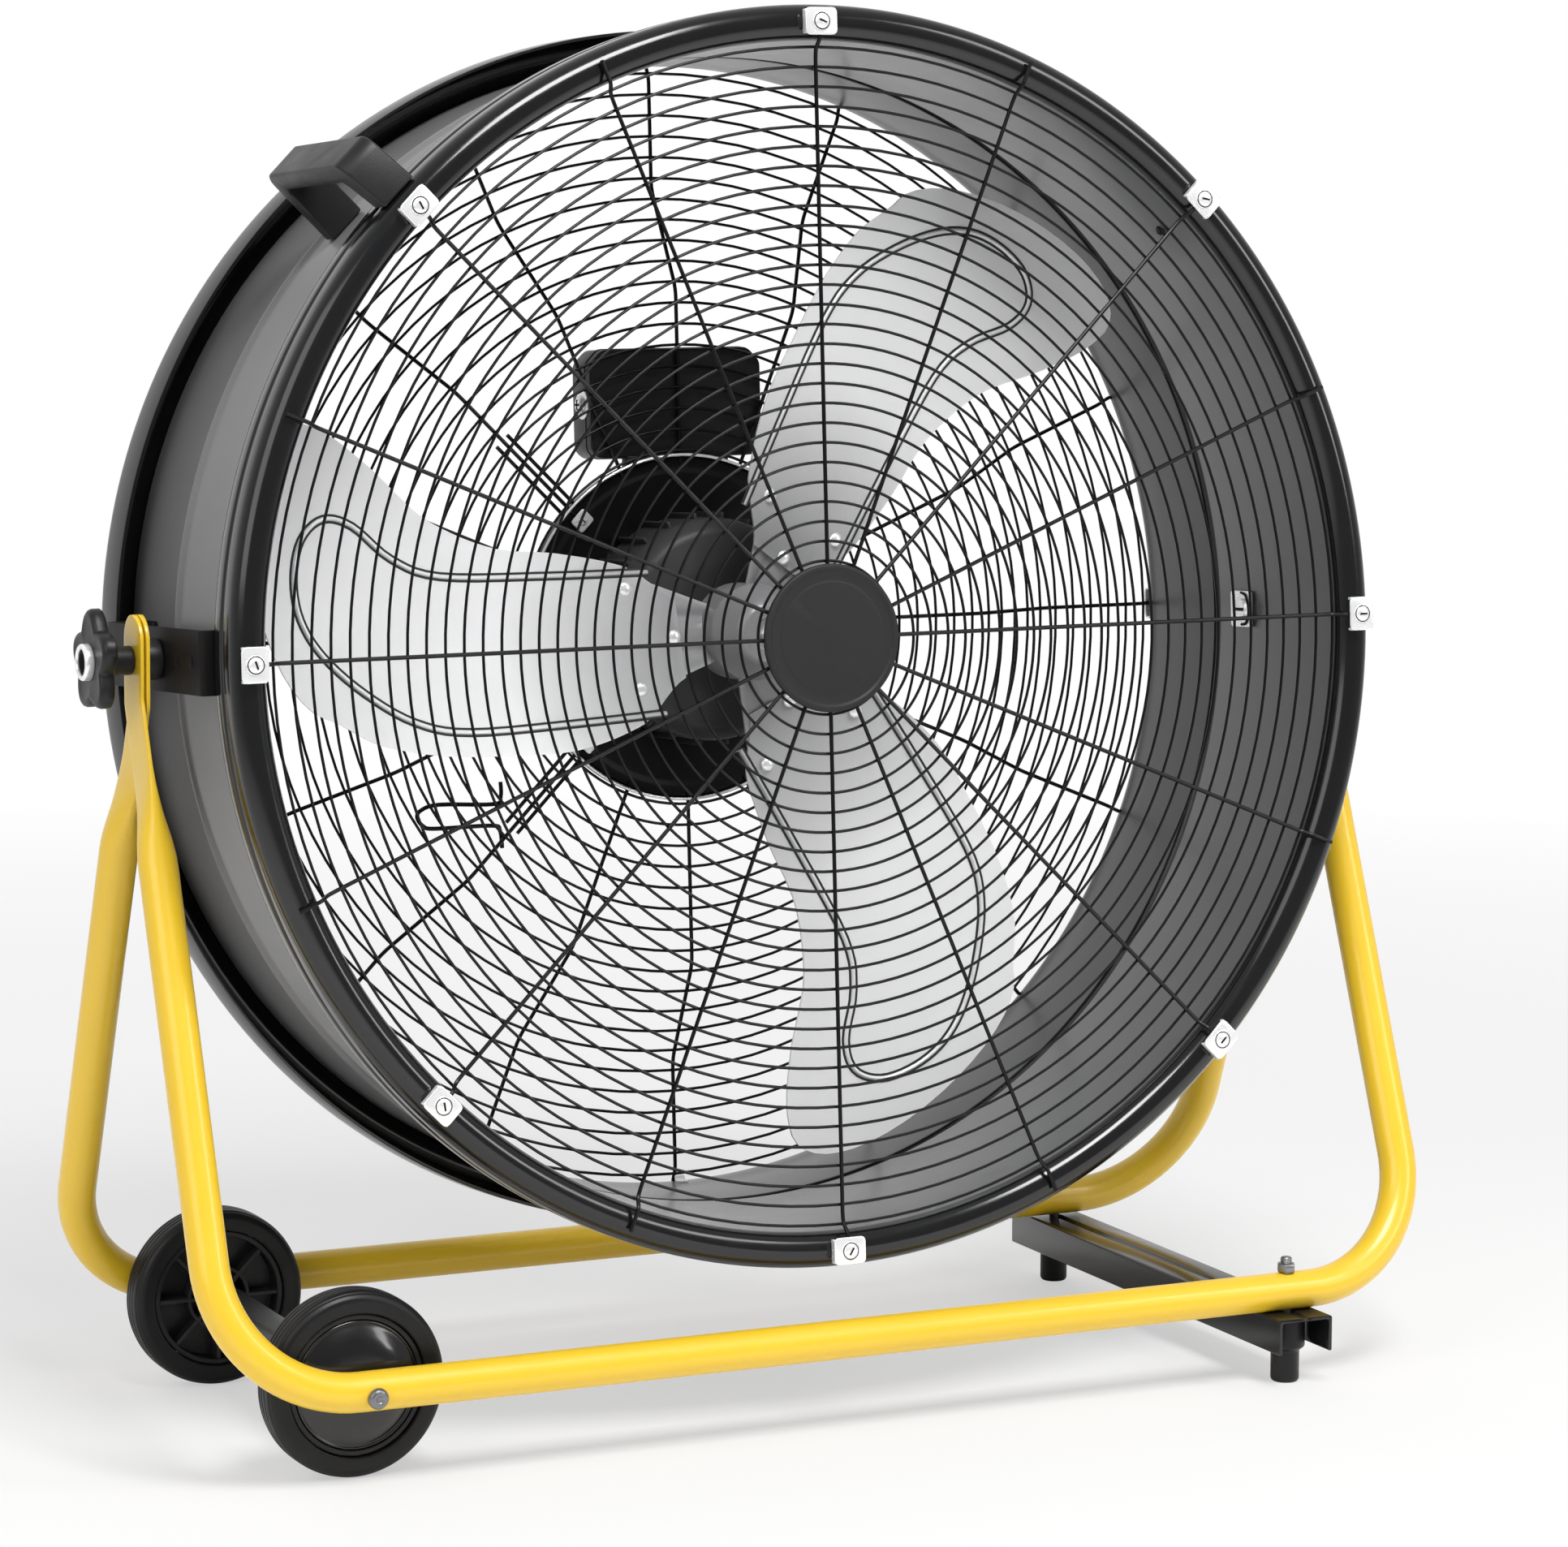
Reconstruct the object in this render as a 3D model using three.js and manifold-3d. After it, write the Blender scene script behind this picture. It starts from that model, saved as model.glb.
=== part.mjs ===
// A drum fan: a round sheet-metal drum with a wire grille at each end, hung between the arms of a
// tubular stand with two wheels and a foot bar. Millimetres, +Z up, the front of the fan faces -Y,
// and the origin is on the floor under the middle of the drum.
import * as THREE from "three";
import { mergeVertices } from "three/addons/utils/BufferGeometryUtils.js";
import Module from "manifold-3d";

const wasm = await Module();
wasm.setup();

// ---------------------------------------------------------------- driving sizes
const UNDER_DRUM = 80; // from the floor to the rims when the drum stands upright
const DRUM_TILT = 3.75; // degrees that the drum faces upwards as it stands
const GAP = 0.3; // between pieces that touch

// Drum shell
const RIM_RADIUS = 340; // outermost edge of the rolled rims
const RIM_HEIGHT = 18; // of the rims over the barrel between them
const SHEET = 1.6;
const FRONT_CREST = -102.8; // foremost point of the front rim, along the drum axis
const DRUM_DEPTH = 223.1; // from crest to crest
const RIM_BAND = 32; // how far each rim's outer band reaches back from its crest
const BEAD_PLACE = 35; // pressed bead round the barrel
const BEAD_WIDTH = 9;
const BEAD_DEPTH = 2.4;
const DRUM_SEGMENTS = 40;

// Front grille
const SPOKES = 16;
const SPOKE_WIDTH = 2.4;
const SPOKE_DEPTH = 2.2;
const WIRE_RADIUS = 1.15;
const FRONT_RING_PITCH = 10.6;
const GRILLE_EDGE_GAP = 3.4; // from the outermost ring to the inside of the rim
const FRONT_RING_BACK = 5.8; // from the front crest to the middle of the rings
const BADGE_RADIUS = 40;
const BADGE_THICKNESS = 3.2;

// Rear guard, dished inwards towards the motor
const REAR_RING_PITCH = 12;
const REAR_RING_BACK = 4.1; // from the rear crest to the middle of the outer rings
const DISH_BORDER = 66; // width of the flat border outside the cone
const DISH_FLOOR = 94; // width of the flat floor between the motor plate and the cone
const DISH_DEPTH = 30.2;

// Clips that hold the two guards on the rims
const FRONT_CLIPS = 8;
const REAR_CLIPS = 4;
const CLIP_WIDTH = 19; // along the rim
const CLIP_DEPTH = 15; // across the rim
const CLIP_SHEET = 1.6;

// Motor and its mounting plate
const MOTOR_PLATE_RADIUS = 99;
const MOTOR_PLATE_THICKNESS = 2.6;
const PLATE_BORDER = 33; // of the plate outside the motor
const MOTOR_LENGTH = 52;
const MOTOR_FINS = 12;
const FIN_RISE = 3; // of the fins over the motor's can
const FIN_DEPTH = 8; // from a fin's outer edge inwards
const FIN_SHEET = 2.4;
const FINS_BEHIND_FRONT = 15; // from the motor's front to the fins
const FINS_BEFORE_REAR = 1;
const MOTOR_SHOULDER = 12; // length of the motor's domed front
const SHAFT_RADIUS = 6;
const BOX_WIDTH = 107; // control box
const BOX_HEIGHT = 62;
const BOX_DEPTH = 26;
const BOX_OVER_PLATE = 2; // how far the box reaches in over the plate's edge
const BOX_CORNER = 6; // bevel of its corners
const BOX_FOOT_SHARE = 0.6; // of the box's width
const BOX_FOOT_HEIGHT = 16;
const BOX_FOOT_SHEET = 8;
const BOX_FOOT_OVERLAP = 2; // with the box
const DIAL_RADIUS = 16;
const DIAL_LENGTH = 14;
const DIAL_SKIRT = 5; // height of its round base
const DIAL_BEVEL = 3;
const DIAL_RIDGE = 7; // width of its ridge
const DIAL_FROM_SIDE = 31.5; // from the box's side to the middle of the dial

// Blades
const BLADES = 3;
const TIP_CLEARANCE = 32.4; // from the blades' tips to the barrel
const BLADE_SHEET = 1.6;
const FIRST_BLADE = 59; // degrees from +X towards +Z
const BLADE_BEFORE_MOTOR = 38.15; // from the motor's front to the middle plane of the blades
const BLADE_SLOPE = 0.24; // rise of the blade along the axis, per unit of its width
const BLADE_TWIST = 0.23; // loss of slope from root to tip
const BLADE_CAMBER = 6; // hollow of the blade across its width
const BLADE_CAMBER_WIDTH = 90;
const HUB_RADIUS = 27;
const HUB_LENGTH = 46;
const HUB_NOSE = 16; // radius of its front
const HUB_BEVEL = 3;
const HUB_BEFORE_BLADES = 4; // from the blades' plane to the start of its taper
const HUB_SOCKET = 38; // depth of the hub's bore for the shaft
const SPIDER_REACH = 84; // end of the arms that carry the blades
const ARM_HALF_WIDTH = 30; // of such an arm where it is widest

// Handle on the barrel
const HANDLE_ANGLE = 135;
const HANDLE_WIDTH = 23;
const HANDLE_RISE = 32; // from the rims to the outside of the grip
const HANDLE_GRIP = 12;
const HANDLE_LENGTH = 110;
const HANDLE_START = 14.8; // from the front rim's crest to the front of the grip
const HANDLE_TOE = 10; // how far its front leg leans forwards to the rim
const HANDLE_HEEL = 8; // the same, on the inside of the leg
const HANDLE_BEVEL = 4;
const HANDLE_INNER_BEVEL = 3;

// Stand
const TUBE_RADIUS = 10.5;
const LEG_CLEARANCE = 1.2; // from the brackets to the legs that they swing past
const STAND_BEYOND = 13.7; // from the rear crest to the middle of the rear tube
const BEND_RADIUS = 72;
const PADDLE_THICKNESS = 3; // the tube's end, pressed flat
const PADDLE_WIDTH = 28;
const PADDLE_TOP = 24; // above the pivot
const PADDLE_FLAT = 22; // below the pivot, where the leg starts to slant
const PADDLE_SPLIT = 37; // further down the leg, where the two legs no longer overlap
const PADDLE_TAPER = 46; // from flat to round
const TUBE_SIDES = 10;
const BEND_STEPS = 5;

// Wheels
const WHEEL_RADIUS = 49.5;
const WHEEL_WIDTH = 22;
const WHEEL_CLEARANCE = 6.5; // from the tyre to the tube beside it
const AXLE_BEFORE_BEND = 6.5; // from the axle to the start of the bend, along the run
const AXLE_RADIUS = 4;
const AXLE_BELOW_TUBE = 1.5;
const SLEEVE_RADIUS = 9.5;
const TYRE_THICKNESS = 12;
const RIBS = 8;
const WHEEL_RIM = 3; // thickness of the rim under the tyre
const BOSS_RADIUS = 9.5;
const WEB = 3;
const WEB_PLACE = 2; // from the middle of the wheel
const AXLE_HEAD_RADIUS = 5.6;
const AXLE_NUT = 5.5;

// Foot bar
const FOOT_BAR_BEFORE_BEND = 15.5; // from the middle of the bar to the start of the bend
const FOOT_BAR_WIDTH = 34;
const FOOT_BAR_HEIGHT = 20;
const FOOT_BAR_BEYOND = 22; // how far the bar reaches past the middle of the tubes
const FOOT_BAR_SHEET = 2;
const FOOT_RADIUS = 8;
const FOOT_BOLT_RADIUS = 3;
const FOOT_BOLT_GRIP = 14; // how deep the bolt goes into the foot
const FOOT_NUT = 5;

// Tilt pivot
const PIVOT_BOLT_RADIUS = 4;
const BOLT_CLEARANCE = 0.3;
const BRACKET_WIDTH = 34;
const BRACKET_SHEET = 2.6;
const BRACKET_STANDOFF = 3.2; // from the rims to the bracket's inside
const BRACKET_FOOT = 16; // length of its feet along the barrel
const BRACKET_CLEARANCE = 3; // from the bracket to the rims' bands
const PIVOT_PLATE_SIZE = 21;
const PIVOT_PLATE_SHEET = 2;
const SPACER_RADIUS = 11;
const KNOB_HUB_RADIUS = 7.8;
const KNOB_HUB_LENGTH = 15;
const KNOB_LOBES = 5;
const KNOB_RADIUS = 28;
const KNOB_THICKNESS = 8.6;
const KNOB_CAP_LENGTH = 4;

// ---------------------------------------------------------------- places that follow
const PIVOT_HEIGHT = RIM_RADIUS + UNDER_DRUM; // the axis on which the drum tilts, above the floor
const BARREL_RADIUS = RIM_RADIUS - RIM_HEIGHT; // outside of the barrel
const REAR_CREST = FRONT_CREST + DRUM_DEPTH;
const STAND_HALF_DEPTH = REAR_CREST + STAND_BEYOND;
const TUBE_RUN_HEIGHT = WHEEL_RADIUS + AXLE_BELOW_TUBE;
const RIM_ROLL = (RIM_RADIUS - BARREL_RADIUS + SHEET) / 2; // radius of the rolled edge
const BARREL_INSIDE = BARREL_RADIUS - SHEET;
const GRILLE_RADIUS = BARREL_INSIDE - GRILLE_EDGE_GAP;
const FRONT_RINGS = 1 + Math.floor((GRILLE_RADIUS - BADGE_RADIUS) / FRONT_RING_PITCH);
const REAR_RINGS = 1 + Math.floor((GRILLE_RADIUS - MOTOR_PLATE_RADIUS) / REAR_RING_PITCH);
const FRONT_RING_PLANE = FRONT_CREST + FRONT_RING_BACK;
const REAR_RING_PLANE = REAR_CREST - REAR_RING_BACK;
const DISH_OUTER = GRILLE_RADIUS - DISH_BORDER;
const DISH_INNER = MOTOR_PLATE_RADIUS + DISH_FLOOR;
const DISH_PLANE = REAR_RING_PLANE - DISH_DEPTH;
const BLADE_TIP = BARREL_INSIDE - TIP_CLEARANCE;
const HANDLE_REACH = RIM_RADIUS + HANDLE_RISE; // from the drum axis to the outside of the grip
const CLIP_RADIUS = RIM_RADIUS - RIM_ROLL;
const SPOKE_REACH = CLIP_RADIUS + 4;
const SPOKE_OVER_RIM = 0.65; // from the rim's crest to the spoke that lies over it
const CLIP_OVER_RIM = SPOKE_OVER_RIM + SPOKE_DEPTH + GAP;
const FRONT_SPOKE_PLANE = FRONT_RING_PLANE - WIRE_RADIUS - GAP; // back of the front spokes
const BRACKET_OUTSIDE = RIM_RADIUS + BRACKET_STANDOFF + BRACKET_SHEET;
// Middle of the legs, and the plane where the two paddles of a side meet.
const LEG_X = BRACKET_OUTSIDE + LEG_CLEARANCE + TUBE_RADIUS;
const PADDLE_OUT = LEG_X + PADDLE_THICKNESS + GAP / 2;
const KNOB_START = PADDLE_OUT + GAP;
const KNOB_DISC_START = KNOB_START + KNOB_HUB_LENGTH;
const KNOB_END = KNOB_DISC_START + KNOB_THICKNESS;
const BOLT_HOLE = PIVOT_BOLT_RADIUS + BOLT_CLEARANCE;
// The barrel's facets dip below its round at the edges of the flat plate that seats on them.
const PIVOT_PLATE_SEAT =
  BARREL_INSIDE - (PIVOT_PLATE_SIZE / 2) * Math.tan(Math.PI / DRUM_SEGMENTS) - GAP;
const KNOB_VALLEY = 0.75 * KNOB_RADIUS;
const KNOB_CAP_RADIUS = 0.35 * KNOB_RADIUS;
const BEND_START = LEG_X - BEND_RADIUS;
const AXLE_X = AXLE_BEFORE_BEND - BEND_START;
const WHEEL_MIDDLE = STAND_HALF_DEPTH - TUBE_RADIUS - WHEEL_CLEARANCE - WHEEL_WIDTH / 2; // along the axle
const TYRE_INNER = WHEEL_RADIUS - TYRE_THICKNESS;
const AXLE_HOLE = AXLE_RADIUS + BOLT_CLEARANCE;
const FOOT_BAR_X = BEND_START - FOOT_BAR_BEFORE_BEND;
const FOOT_BAR_HALF_LENGTH = STAND_HALF_DEPTH + FOOT_BAR_BEYOND;
const FOOT_BAR_TOP = TUBE_RUN_HEIGHT - TUBE_RADIUS - GAP;
const FOOT_BAR_BOTTOM = FOOT_BAR_TOP - FOOT_BAR_HEIGHT;
const MOTOR_RADIUS = MOTOR_PLATE_RADIUS - PLATE_BORDER;
const BOX_BOTTOM = MOTOR_PLATE_RADIUS - BOX_OVER_PLATE; // above the motor axis
const DIAL_X = DIAL_FROM_SIDE - BOX_WIDTH / 2;
const MOTOR_PLATE_FRONT = DISH_PLANE + WIRE_RADIUS + GAP;
const MOTOR_FRONT = MOTOR_PLATE_FRONT - GAP - MOTOR_LENGTH;
const BLADE_PLANE = MOTOR_FRONT - BLADE_BEFORE_MOTOR;
const HUB_FRONT = BLADE_PLANE - HUB_LENGTH / 2;
const FOOT_BOLT_HOLE = FOOT_BOLT_RADIUS + BOLT_CLEARANCE;

// ---------------------------------------------------------------- finishes
const finish = (color, roughness, metalness) =>
  new THREE.MeshStandardMaterial({ color, roughness, metalness });
const FINISHES = {
  yellow: finish(0xf2c11c, 0.3, 0.1),
  black_steel: finish(0x1b1c1e, 0.4, 0.3),
  black_wire: finish(0x101112, 0.35, 0.2),
  grey_steel: finish(0xb9bcbf, 0.45, 0.6),
  bright_steel: finish(0xd0d2d4, 0.3, 0.9),
  black_plastic: finish(0x202124, 0.5, 0),
  rubber: finish(0x18191a, 0.8, 0),
};

// ---------------------------------------------------------------- shape tools
function solidOf(geometry) {
  const bare = new THREE.BufferGeometry().setAttribute("position", geometry.getAttribute("position"));
  bare.setIndex(geometry.index);
  const merged = mergeVertices(bare, 1e-4);
  return new wasm.Manifold(
    new wasm.Mesh({
      numProp: 3,
      vertProperties: merged.attributes.position.array,
      triVerts: new Uint32Array(merged.index.array),
    }),
  );
}

function geometryOf(solid) {
  const { numProp, vertProperties, triVerts } = solid.getMesh();
  const corners = new Float32Array((vertProperties.length / numProp) * 3);
  for (let i = 0; i * 3 < corners.length; i++) {
    corners.set(vertProperties.subarray(i * numProp, i * numProp + 3), i * 3);
  }
  return new THREE.BufferGeometry()
    .setAttribute("position", new THREE.BufferAttribute(corners, 3))
    .setIndex(new THREE.BufferAttribute(triVerts, 1));
}

const joined = (...pieces) => geometryOf(pieces.map(solidOf).reduce((all, next) => all.add(next)));
const cut = (base, ...tools) =>
  geometryOf(tools.map(solidOf).reduce((left, tool) => left.subtract(tool), solidOf(base)));

// Revolves [radius, height] points about the Y axis. A profile off the axis closes on itself.
function revolved(profile, segments) {
  const points = profile.map(([radius, height]) => new THREE.Vector2(radius, height));
  if (THREE.ShapeUtils.area(points) < 0) points.reverse();
  if (profile[0][0] > 0) points.push(points[0].clone());
  return new THREE.LatheGeometry(points, segments);
}

// Skins a row of outlines with equal point counts and closes both ends.
function lofted(outlines) {
  const count = outlines[0].length;
  const corners = outlines.flat().flatMap((point) => point.toArray());
  const faces = [];
  const last = (outlines.length - 1) * count;
  for (let row = 0; row < last; row += count) {
    for (let i = 0; i < count; i++) {
      const next = (i + 1) % count;
      faces.push(row + i, row + next, row + count + i);
      faces.push(row + next, row + count + next, row + count + i);
    }
  }
  for (let i = 1; i < count - 1; i++) {
    faces.push(0, i + 1, i, last, last + i, last + i + 1);
  }
  return new THREE.BufferGeometry()
    .setAttribute("position", new THREE.Float32BufferAttribute(corners, 3))
    .setIndex(faces);
}

// Extrudes [across, up] points by a length that is centred on the outline's plane.
function extruded(outline, length) {
  const shape = new THREE.Shape(outline.map(([x, y]) => new THREE.Vector2(x, y)));
  const made = new THREE.ExtrudeGeometry(shape, { depth: length, bevelEnabled: false });
  return made.translate(0, 0, -length / 2);
}

const rod = (radius, length, sides = 12, topRadius = radius) =>
  new THREE.CylinderGeometry(topRadius, radius, length, sides);
const alongX = (geometry) => geometry.rotateZ(-Math.PI / 2);
const alongZ = (geometry) => geometry.rotateX(Math.PI / 2);
const radians = (degrees) => (degrees * Math.PI) / 180;
const turn = (index, count) => (2 * Math.PI * index) / count;
const blend = (from, to, share) => from + (to - from) * share;

// Turns a shape built along +X so that it points at an angle round the Y axis, from +X towards +Z.
const aimed = (geometry, angle) => geometry.rotateY(-angle);

// ---------------------------------------------------------------- drum
// Points of an arc in the profile plane, from one angle to another.
function arc(centreRadius, centrePlace, radius, from, to, steps) {
  const points = [];
  for (let i = 0; i <= steps; i++) {
    const angle = radians(blend(from, to, i / steps));
    points.push([centreRadius + radius * Math.cos(angle), centrePlace + radius * Math.sin(angle)]);
  }
  return points;
}

// The barrel's sheet is rolled outwards at each end into a round edge with an open band behind it.
function drumShell() {
  const rollCentre = RIM_RADIUS - RIM_ROLL;
  const inner = RIM_ROLL - SHEET;
  const front = FRONT_CREST + RIM_ROLL;
  const rear = REAR_CREST - RIM_ROLL;
  const bead = (radius) => [
    [radius, BEAD_PLACE - BEAD_WIDTH / 2],
    [radius + BEAD_DEPTH, BEAD_PLACE],
    [radius, BEAD_PLACE + BEAD_WIDTH / 2],
  ];
  const profile = [
    ...bead(BARREL_INSIDE).reverse(),
    ...arc(rollCentre, front, RIM_ROLL, 180, 360, 4),
    [RIM_RADIUS - 0.6, FRONT_CREST + RIM_BAND],
    [RIM_RADIUS - 0.6 - SHEET, FRONT_CREST + RIM_BAND],
    ...arc(rollCentre, front, inner, 360, 180, 3),
    ...bead(BARREL_RADIUS),
    ...arc(rollCentre, rear, inner, 180, 0, 3),
    [RIM_RADIUS - 0.6 - SHEET, REAR_CREST - RIM_BAND],
    [RIM_RADIUS - 0.6, REAR_CREST - RIM_BAND],
    ...arc(rollCentre, rear, RIM_ROLL, 0, 180, 4),
  ];
  const boltHole = alongX(rod(BOLT_HOLE, 3 * RIM_RADIUS));
  return cut(revolved(profile, DRUM_SEGMENTS), boltHole);
}

// ---------------------------------------------------------------- wire guards
const ringSegments = (radius) => (radius < 80 ? 10 : radius < 180 ? 14 : 20);

// A wire ring with a three-sided section whose point faces the spokes.
function wireRing(radius, place, towards, segments = ringSegments(radius)) {
  const half = WIRE_RADIUS * Math.cos(Math.PI / 6);
  const section = [
    [radius, place + towards * WIRE_RADIUS],
    [radius - half, place - (towards * WIRE_RADIUS) / 2],
    [radius + half, place - (towards * WIRE_RADIUS) / 2],
  ];
  return revolved(section, segments);
}

// A spoke runs from an inner radius along a face, and reaches back from it by its depth. Where it is
// welded to the rings, its back also reaches into them.
function spoke(facePoints, backPoints, angle) {
  return aimed(extruded([...facePoints, ...backPoints.reverse()], SPOKE_WIDTH), angle);
}

const frontRadii = Array.from({ length: FRONT_RINGS }, (_, i) => GRILLE_RADIUS - i * FRONT_RING_PITCH);
const rearRadii = Array.from({ length: REAR_RINGS }, (_, i) => GRILLE_RADIUS - i * REAR_RING_PITCH);

// Place of the rear guard's rings: flat at the edge, a cone, and flat again round the motor.
function dishPlace(radius) {
  const share = THREE.MathUtils.clamp((DISH_OUTER - radius) / (DISH_OUTER - DISH_INNER), 0, 1);
  return blend(REAR_RING_PLANE, DISH_PLANE, share);
}

// The face of a front spoke steps forward over the rim and ends under its clip.
function frontSpoke(index, from, weld = 0) {
  const overRim = FRONT_CREST - SPOKE_OVER_RIM;
  const face = [
    [from, FRONT_SPOKE_PLANE - SPOKE_DEPTH],
    [GRILLE_RADIUS - 2, FRONT_SPOKE_PLANE - SPOKE_DEPTH],
    [BARREL_RADIUS, overRim - SPOKE_DEPTH],
    [SPOKE_REACH, overRim - SPOKE_DEPTH],
  ];
  const back = [
    [from, FRONT_SPOKE_PLANE + weld],
    [GRILLE_RADIUS, FRONT_SPOKE_PLANE + weld],
    [BARREL_RADIUS + 1, overRim],
    [SPOKE_REACH, overRim],
  ];
  return spoke(face, back, turn(index, SPOKES));
}

function rearSpoke(index, from, weld = 0) {
  const behind = WIRE_RADIUS + GAP;
  const overRim = REAR_CREST + SPOKE_OVER_RIM;
  const face = [
    [from, DISH_PLANE + behind - weld],
    [DISH_INNER, DISH_PLANE + behind - weld],
    [DISH_OUTER, REAR_RING_PLANE + behind - weld],
    [GRILLE_RADIUS, REAR_RING_PLANE + behind - weld],
    [BARREL_RADIUS + 1, overRim],
    [SPOKE_REACH, overRim],
  ];
  const back = [
    [from, DISH_PLANE + behind + SPOKE_DEPTH],
    [DISH_INNER, DISH_PLANE + behind + SPOKE_DEPTH],
    [DISH_OUTER, REAR_RING_PLANE + behind + SPOKE_DEPTH],
    [GRILLE_RADIUS - 2, REAR_RING_PLANE + behind + SPOKE_DEPTH],
    [BARREL_RADIUS, overRim + SPOKE_DEPTH],
    [SPOKE_REACH, overRim + SPOKE_DEPTH],
  ];
  return spoke(face, back, turn(index, SPOKES));
}

const spokeIndexes = Array.from({ length: SPOKES }, (_, i) => i);
const isUpright = (index) => index % (SPOKES / 2) === SPOKES / 4;
const uprightSpokes = spokeIndexes.filter(isUpright);
const otherSpokes = spokeIndexes.filter((index) => !isUpright(index));
const WELD = 0.8; // how far the upright spokes reach into the rings

// The rings of each guard are welded to its two upright spokes.
function frontGrille() {
  const rings = frontRadii.map((radius) => wireRing(radius, FRONT_RING_PLANE, -1));
  const spokes = uprightSpokes.map((index) => frontSpoke(index, BADGE_RADIUS + GAP, WELD));
  return joined(...spokes, ...rings);
}

function rearGuard() {
  const onCone = (radius) => radius > DISH_INNER && radius < DISH_OUTER;
  const rings = rearRadii.map((radius) =>
    wireRing(radius, dishPlace(radius), 1, onCone(radius) ? 2 * SPOKES : ringSegments(radius)),
  );
  const spokes = uprightSpokes.map((index) => rearSpoke(index, MOTOR_PLATE_RADIUS + GAP, WELD));
  return joined(...spokes, ...rings);
}

// The other spokes meet in a round plate under the badge.
function frontSpokes() {
  const plate = rod(BADGE_RADIUS, SPOKE_DEPTH, 32).translate(0, FRONT_SPOKE_PLANE - SPOKE_DEPTH / 2, 0);
  return joined(plate, ...otherSpokes.map((index) => frontSpoke(index, BADGE_RADIUS - 2)));
}

// The other rear spokes are welded to the plate that carries the motor.
function rearSpokes() {
  const place = MOTOR_PLATE_FRONT + MOTOR_PLATE_THICKNESS / 2;
  const plate = rod(MOTOR_PLATE_RADIUS, MOTOR_PLATE_THICKNESS, 32).translate(0, place, 0);
  return joined(plate, ...otherSpokes.map((index) => rearSpoke(index, MOTOR_PLATE_RADIUS - 3)));
}

// A clip bridges the end of a spoke and stands on the rim with a leg on each side.
function clip(index, count, crest, outwards) {
  const half = CLIP_WIDTH / 2;
  const foot = crest + outwards * GAP;
  const under = crest + outwards * CLIP_OVER_RIM;
  const top = under + outwards * CLIP_SHEET;
  const outline = [
    [-half, foot],
    [-half, top],
    [half, top],
    [half, foot],
    [half - CLIP_SHEET, foot],
    [half - CLIP_SHEET, under],
    [CLIP_SHEET - half, under],
    [CLIP_SHEET - half, foot],
  ];
  const bridge = extruded(outline, CLIP_DEPTH).rotateY(Math.PI / 2).translate(CLIP_RADIUS, 0, 0);
  return aimed(bridge, turn(index, count));
}

// The badge is a shallow cap with a raised lip and a bare face.
function badge() {
  const back = FRONT_SPOKE_PLANE - SPOKE_DEPTH - GAP;
  const face = back - BADGE_THICKNESS;
  const profile = [
    [0, back],
    [BADGE_RADIUS, back],
    [BADGE_RADIUS, face + 1],
    [BADGE_RADIUS - 1, face],
    [BADGE_RADIUS - 3, face],
    [BADGE_RADIUS - 4, face + 0.8],
    [0, face + 0.8],
  ];
  return revolved(profile, 24);
}

// ---------------------------------------------------------------- motor and controls
// The motor's can stands on its plate, with a ring of cooling fins and a domed front.
function motorHousing() {
  const rear = MOTOR_PLATE_FRONT - GAP;
  const front = MOTOR_FRONT;
  const canRadius = MOTOR_RADIUS - FIN_RISE;
  const can = revolved(
    [
      [0, rear],
      [canRadius, rear],
      [canRadius, front + MOTOR_SHOULDER],
      [canRadius * 0.889, front + MOTOR_SHOULDER / 3],
      [canRadius * 0.576, front],
      [0, front],
    ],
    24,
  );
  const bore = rod(SHAFT_RADIUS + GAP, MOTOR_LENGTH, 12).translate(0, front, 0);
  const finsFront = front + FINS_BEHIND_FRONT;
  const finsRear = rear - FINS_BEFORE_REAR;
  const fins = Array.from({ length: MOTOR_FINS }, (_, i) => {
    const fin = new THREE.BoxGeometry(FIN_DEPTH, finsRear - finsFront, FIN_SHEET);
    fin.translate(MOTOR_RADIUS - FIN_DEPTH / 2, (finsRear + finsFront) / 2, 0);
    return aimed(fin, turn(i + 0.5, MOTOR_FINS));
  });
  return cut(joined(can, ...fins), bore);
}

function motorShaft() {
  const rear = MOTOR_FRONT + MOTOR_LENGTH / 2 - GAP;
  const front = HUB_FRONT + HUB_LENGTH - HUB_SOCKET + GAP;
  return rod(SHAFT_RADIUS, rear - front, 12).translate(0, (rear + front) / 2, 0);
}

// The control box hangs on the rear guard's plate by a foot that reaches over its edge.
function controlBox() {
  const back = MOTOR_PLATE_FRONT + MOTOR_PLATE_THICKNESS + GAP;
  const half = BOX_WIDTH / 2;
  const outline = [
    [-half, BOX_CORNER],
    [BOX_CORNER - half, 0],
    [half - BOX_CORNER, 0],
    [half, BOX_CORNER],
    [half, BOX_HEIGHT - BOX_CORNER],
    [half - BOX_CORNER, BOX_HEIGHT],
    [BOX_CORNER - half, BOX_HEIGHT],
    [-half, BOX_HEIGHT - BOX_CORNER],
  ];
  const shell = extruded(outline, BOX_DEPTH).rotateX(Math.PI / 2);
  shell.translate(0, back + BOX_DEPTH / 2, BOX_BOTTOM);
  const foot = new THREE.BoxGeometry(BOX_WIDTH * BOX_FOOT_SHARE, BOX_FOOT_SHEET, BOX_FOOT_HEIGHT);
  foot.translate(0, back + BOX_FOOT_SHEET / 2, BOX_BOTTOM + BOX_FOOT_OVERLAP - BOX_FOOT_HEIGHT / 2);
  return joined(shell, foot);
}

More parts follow.
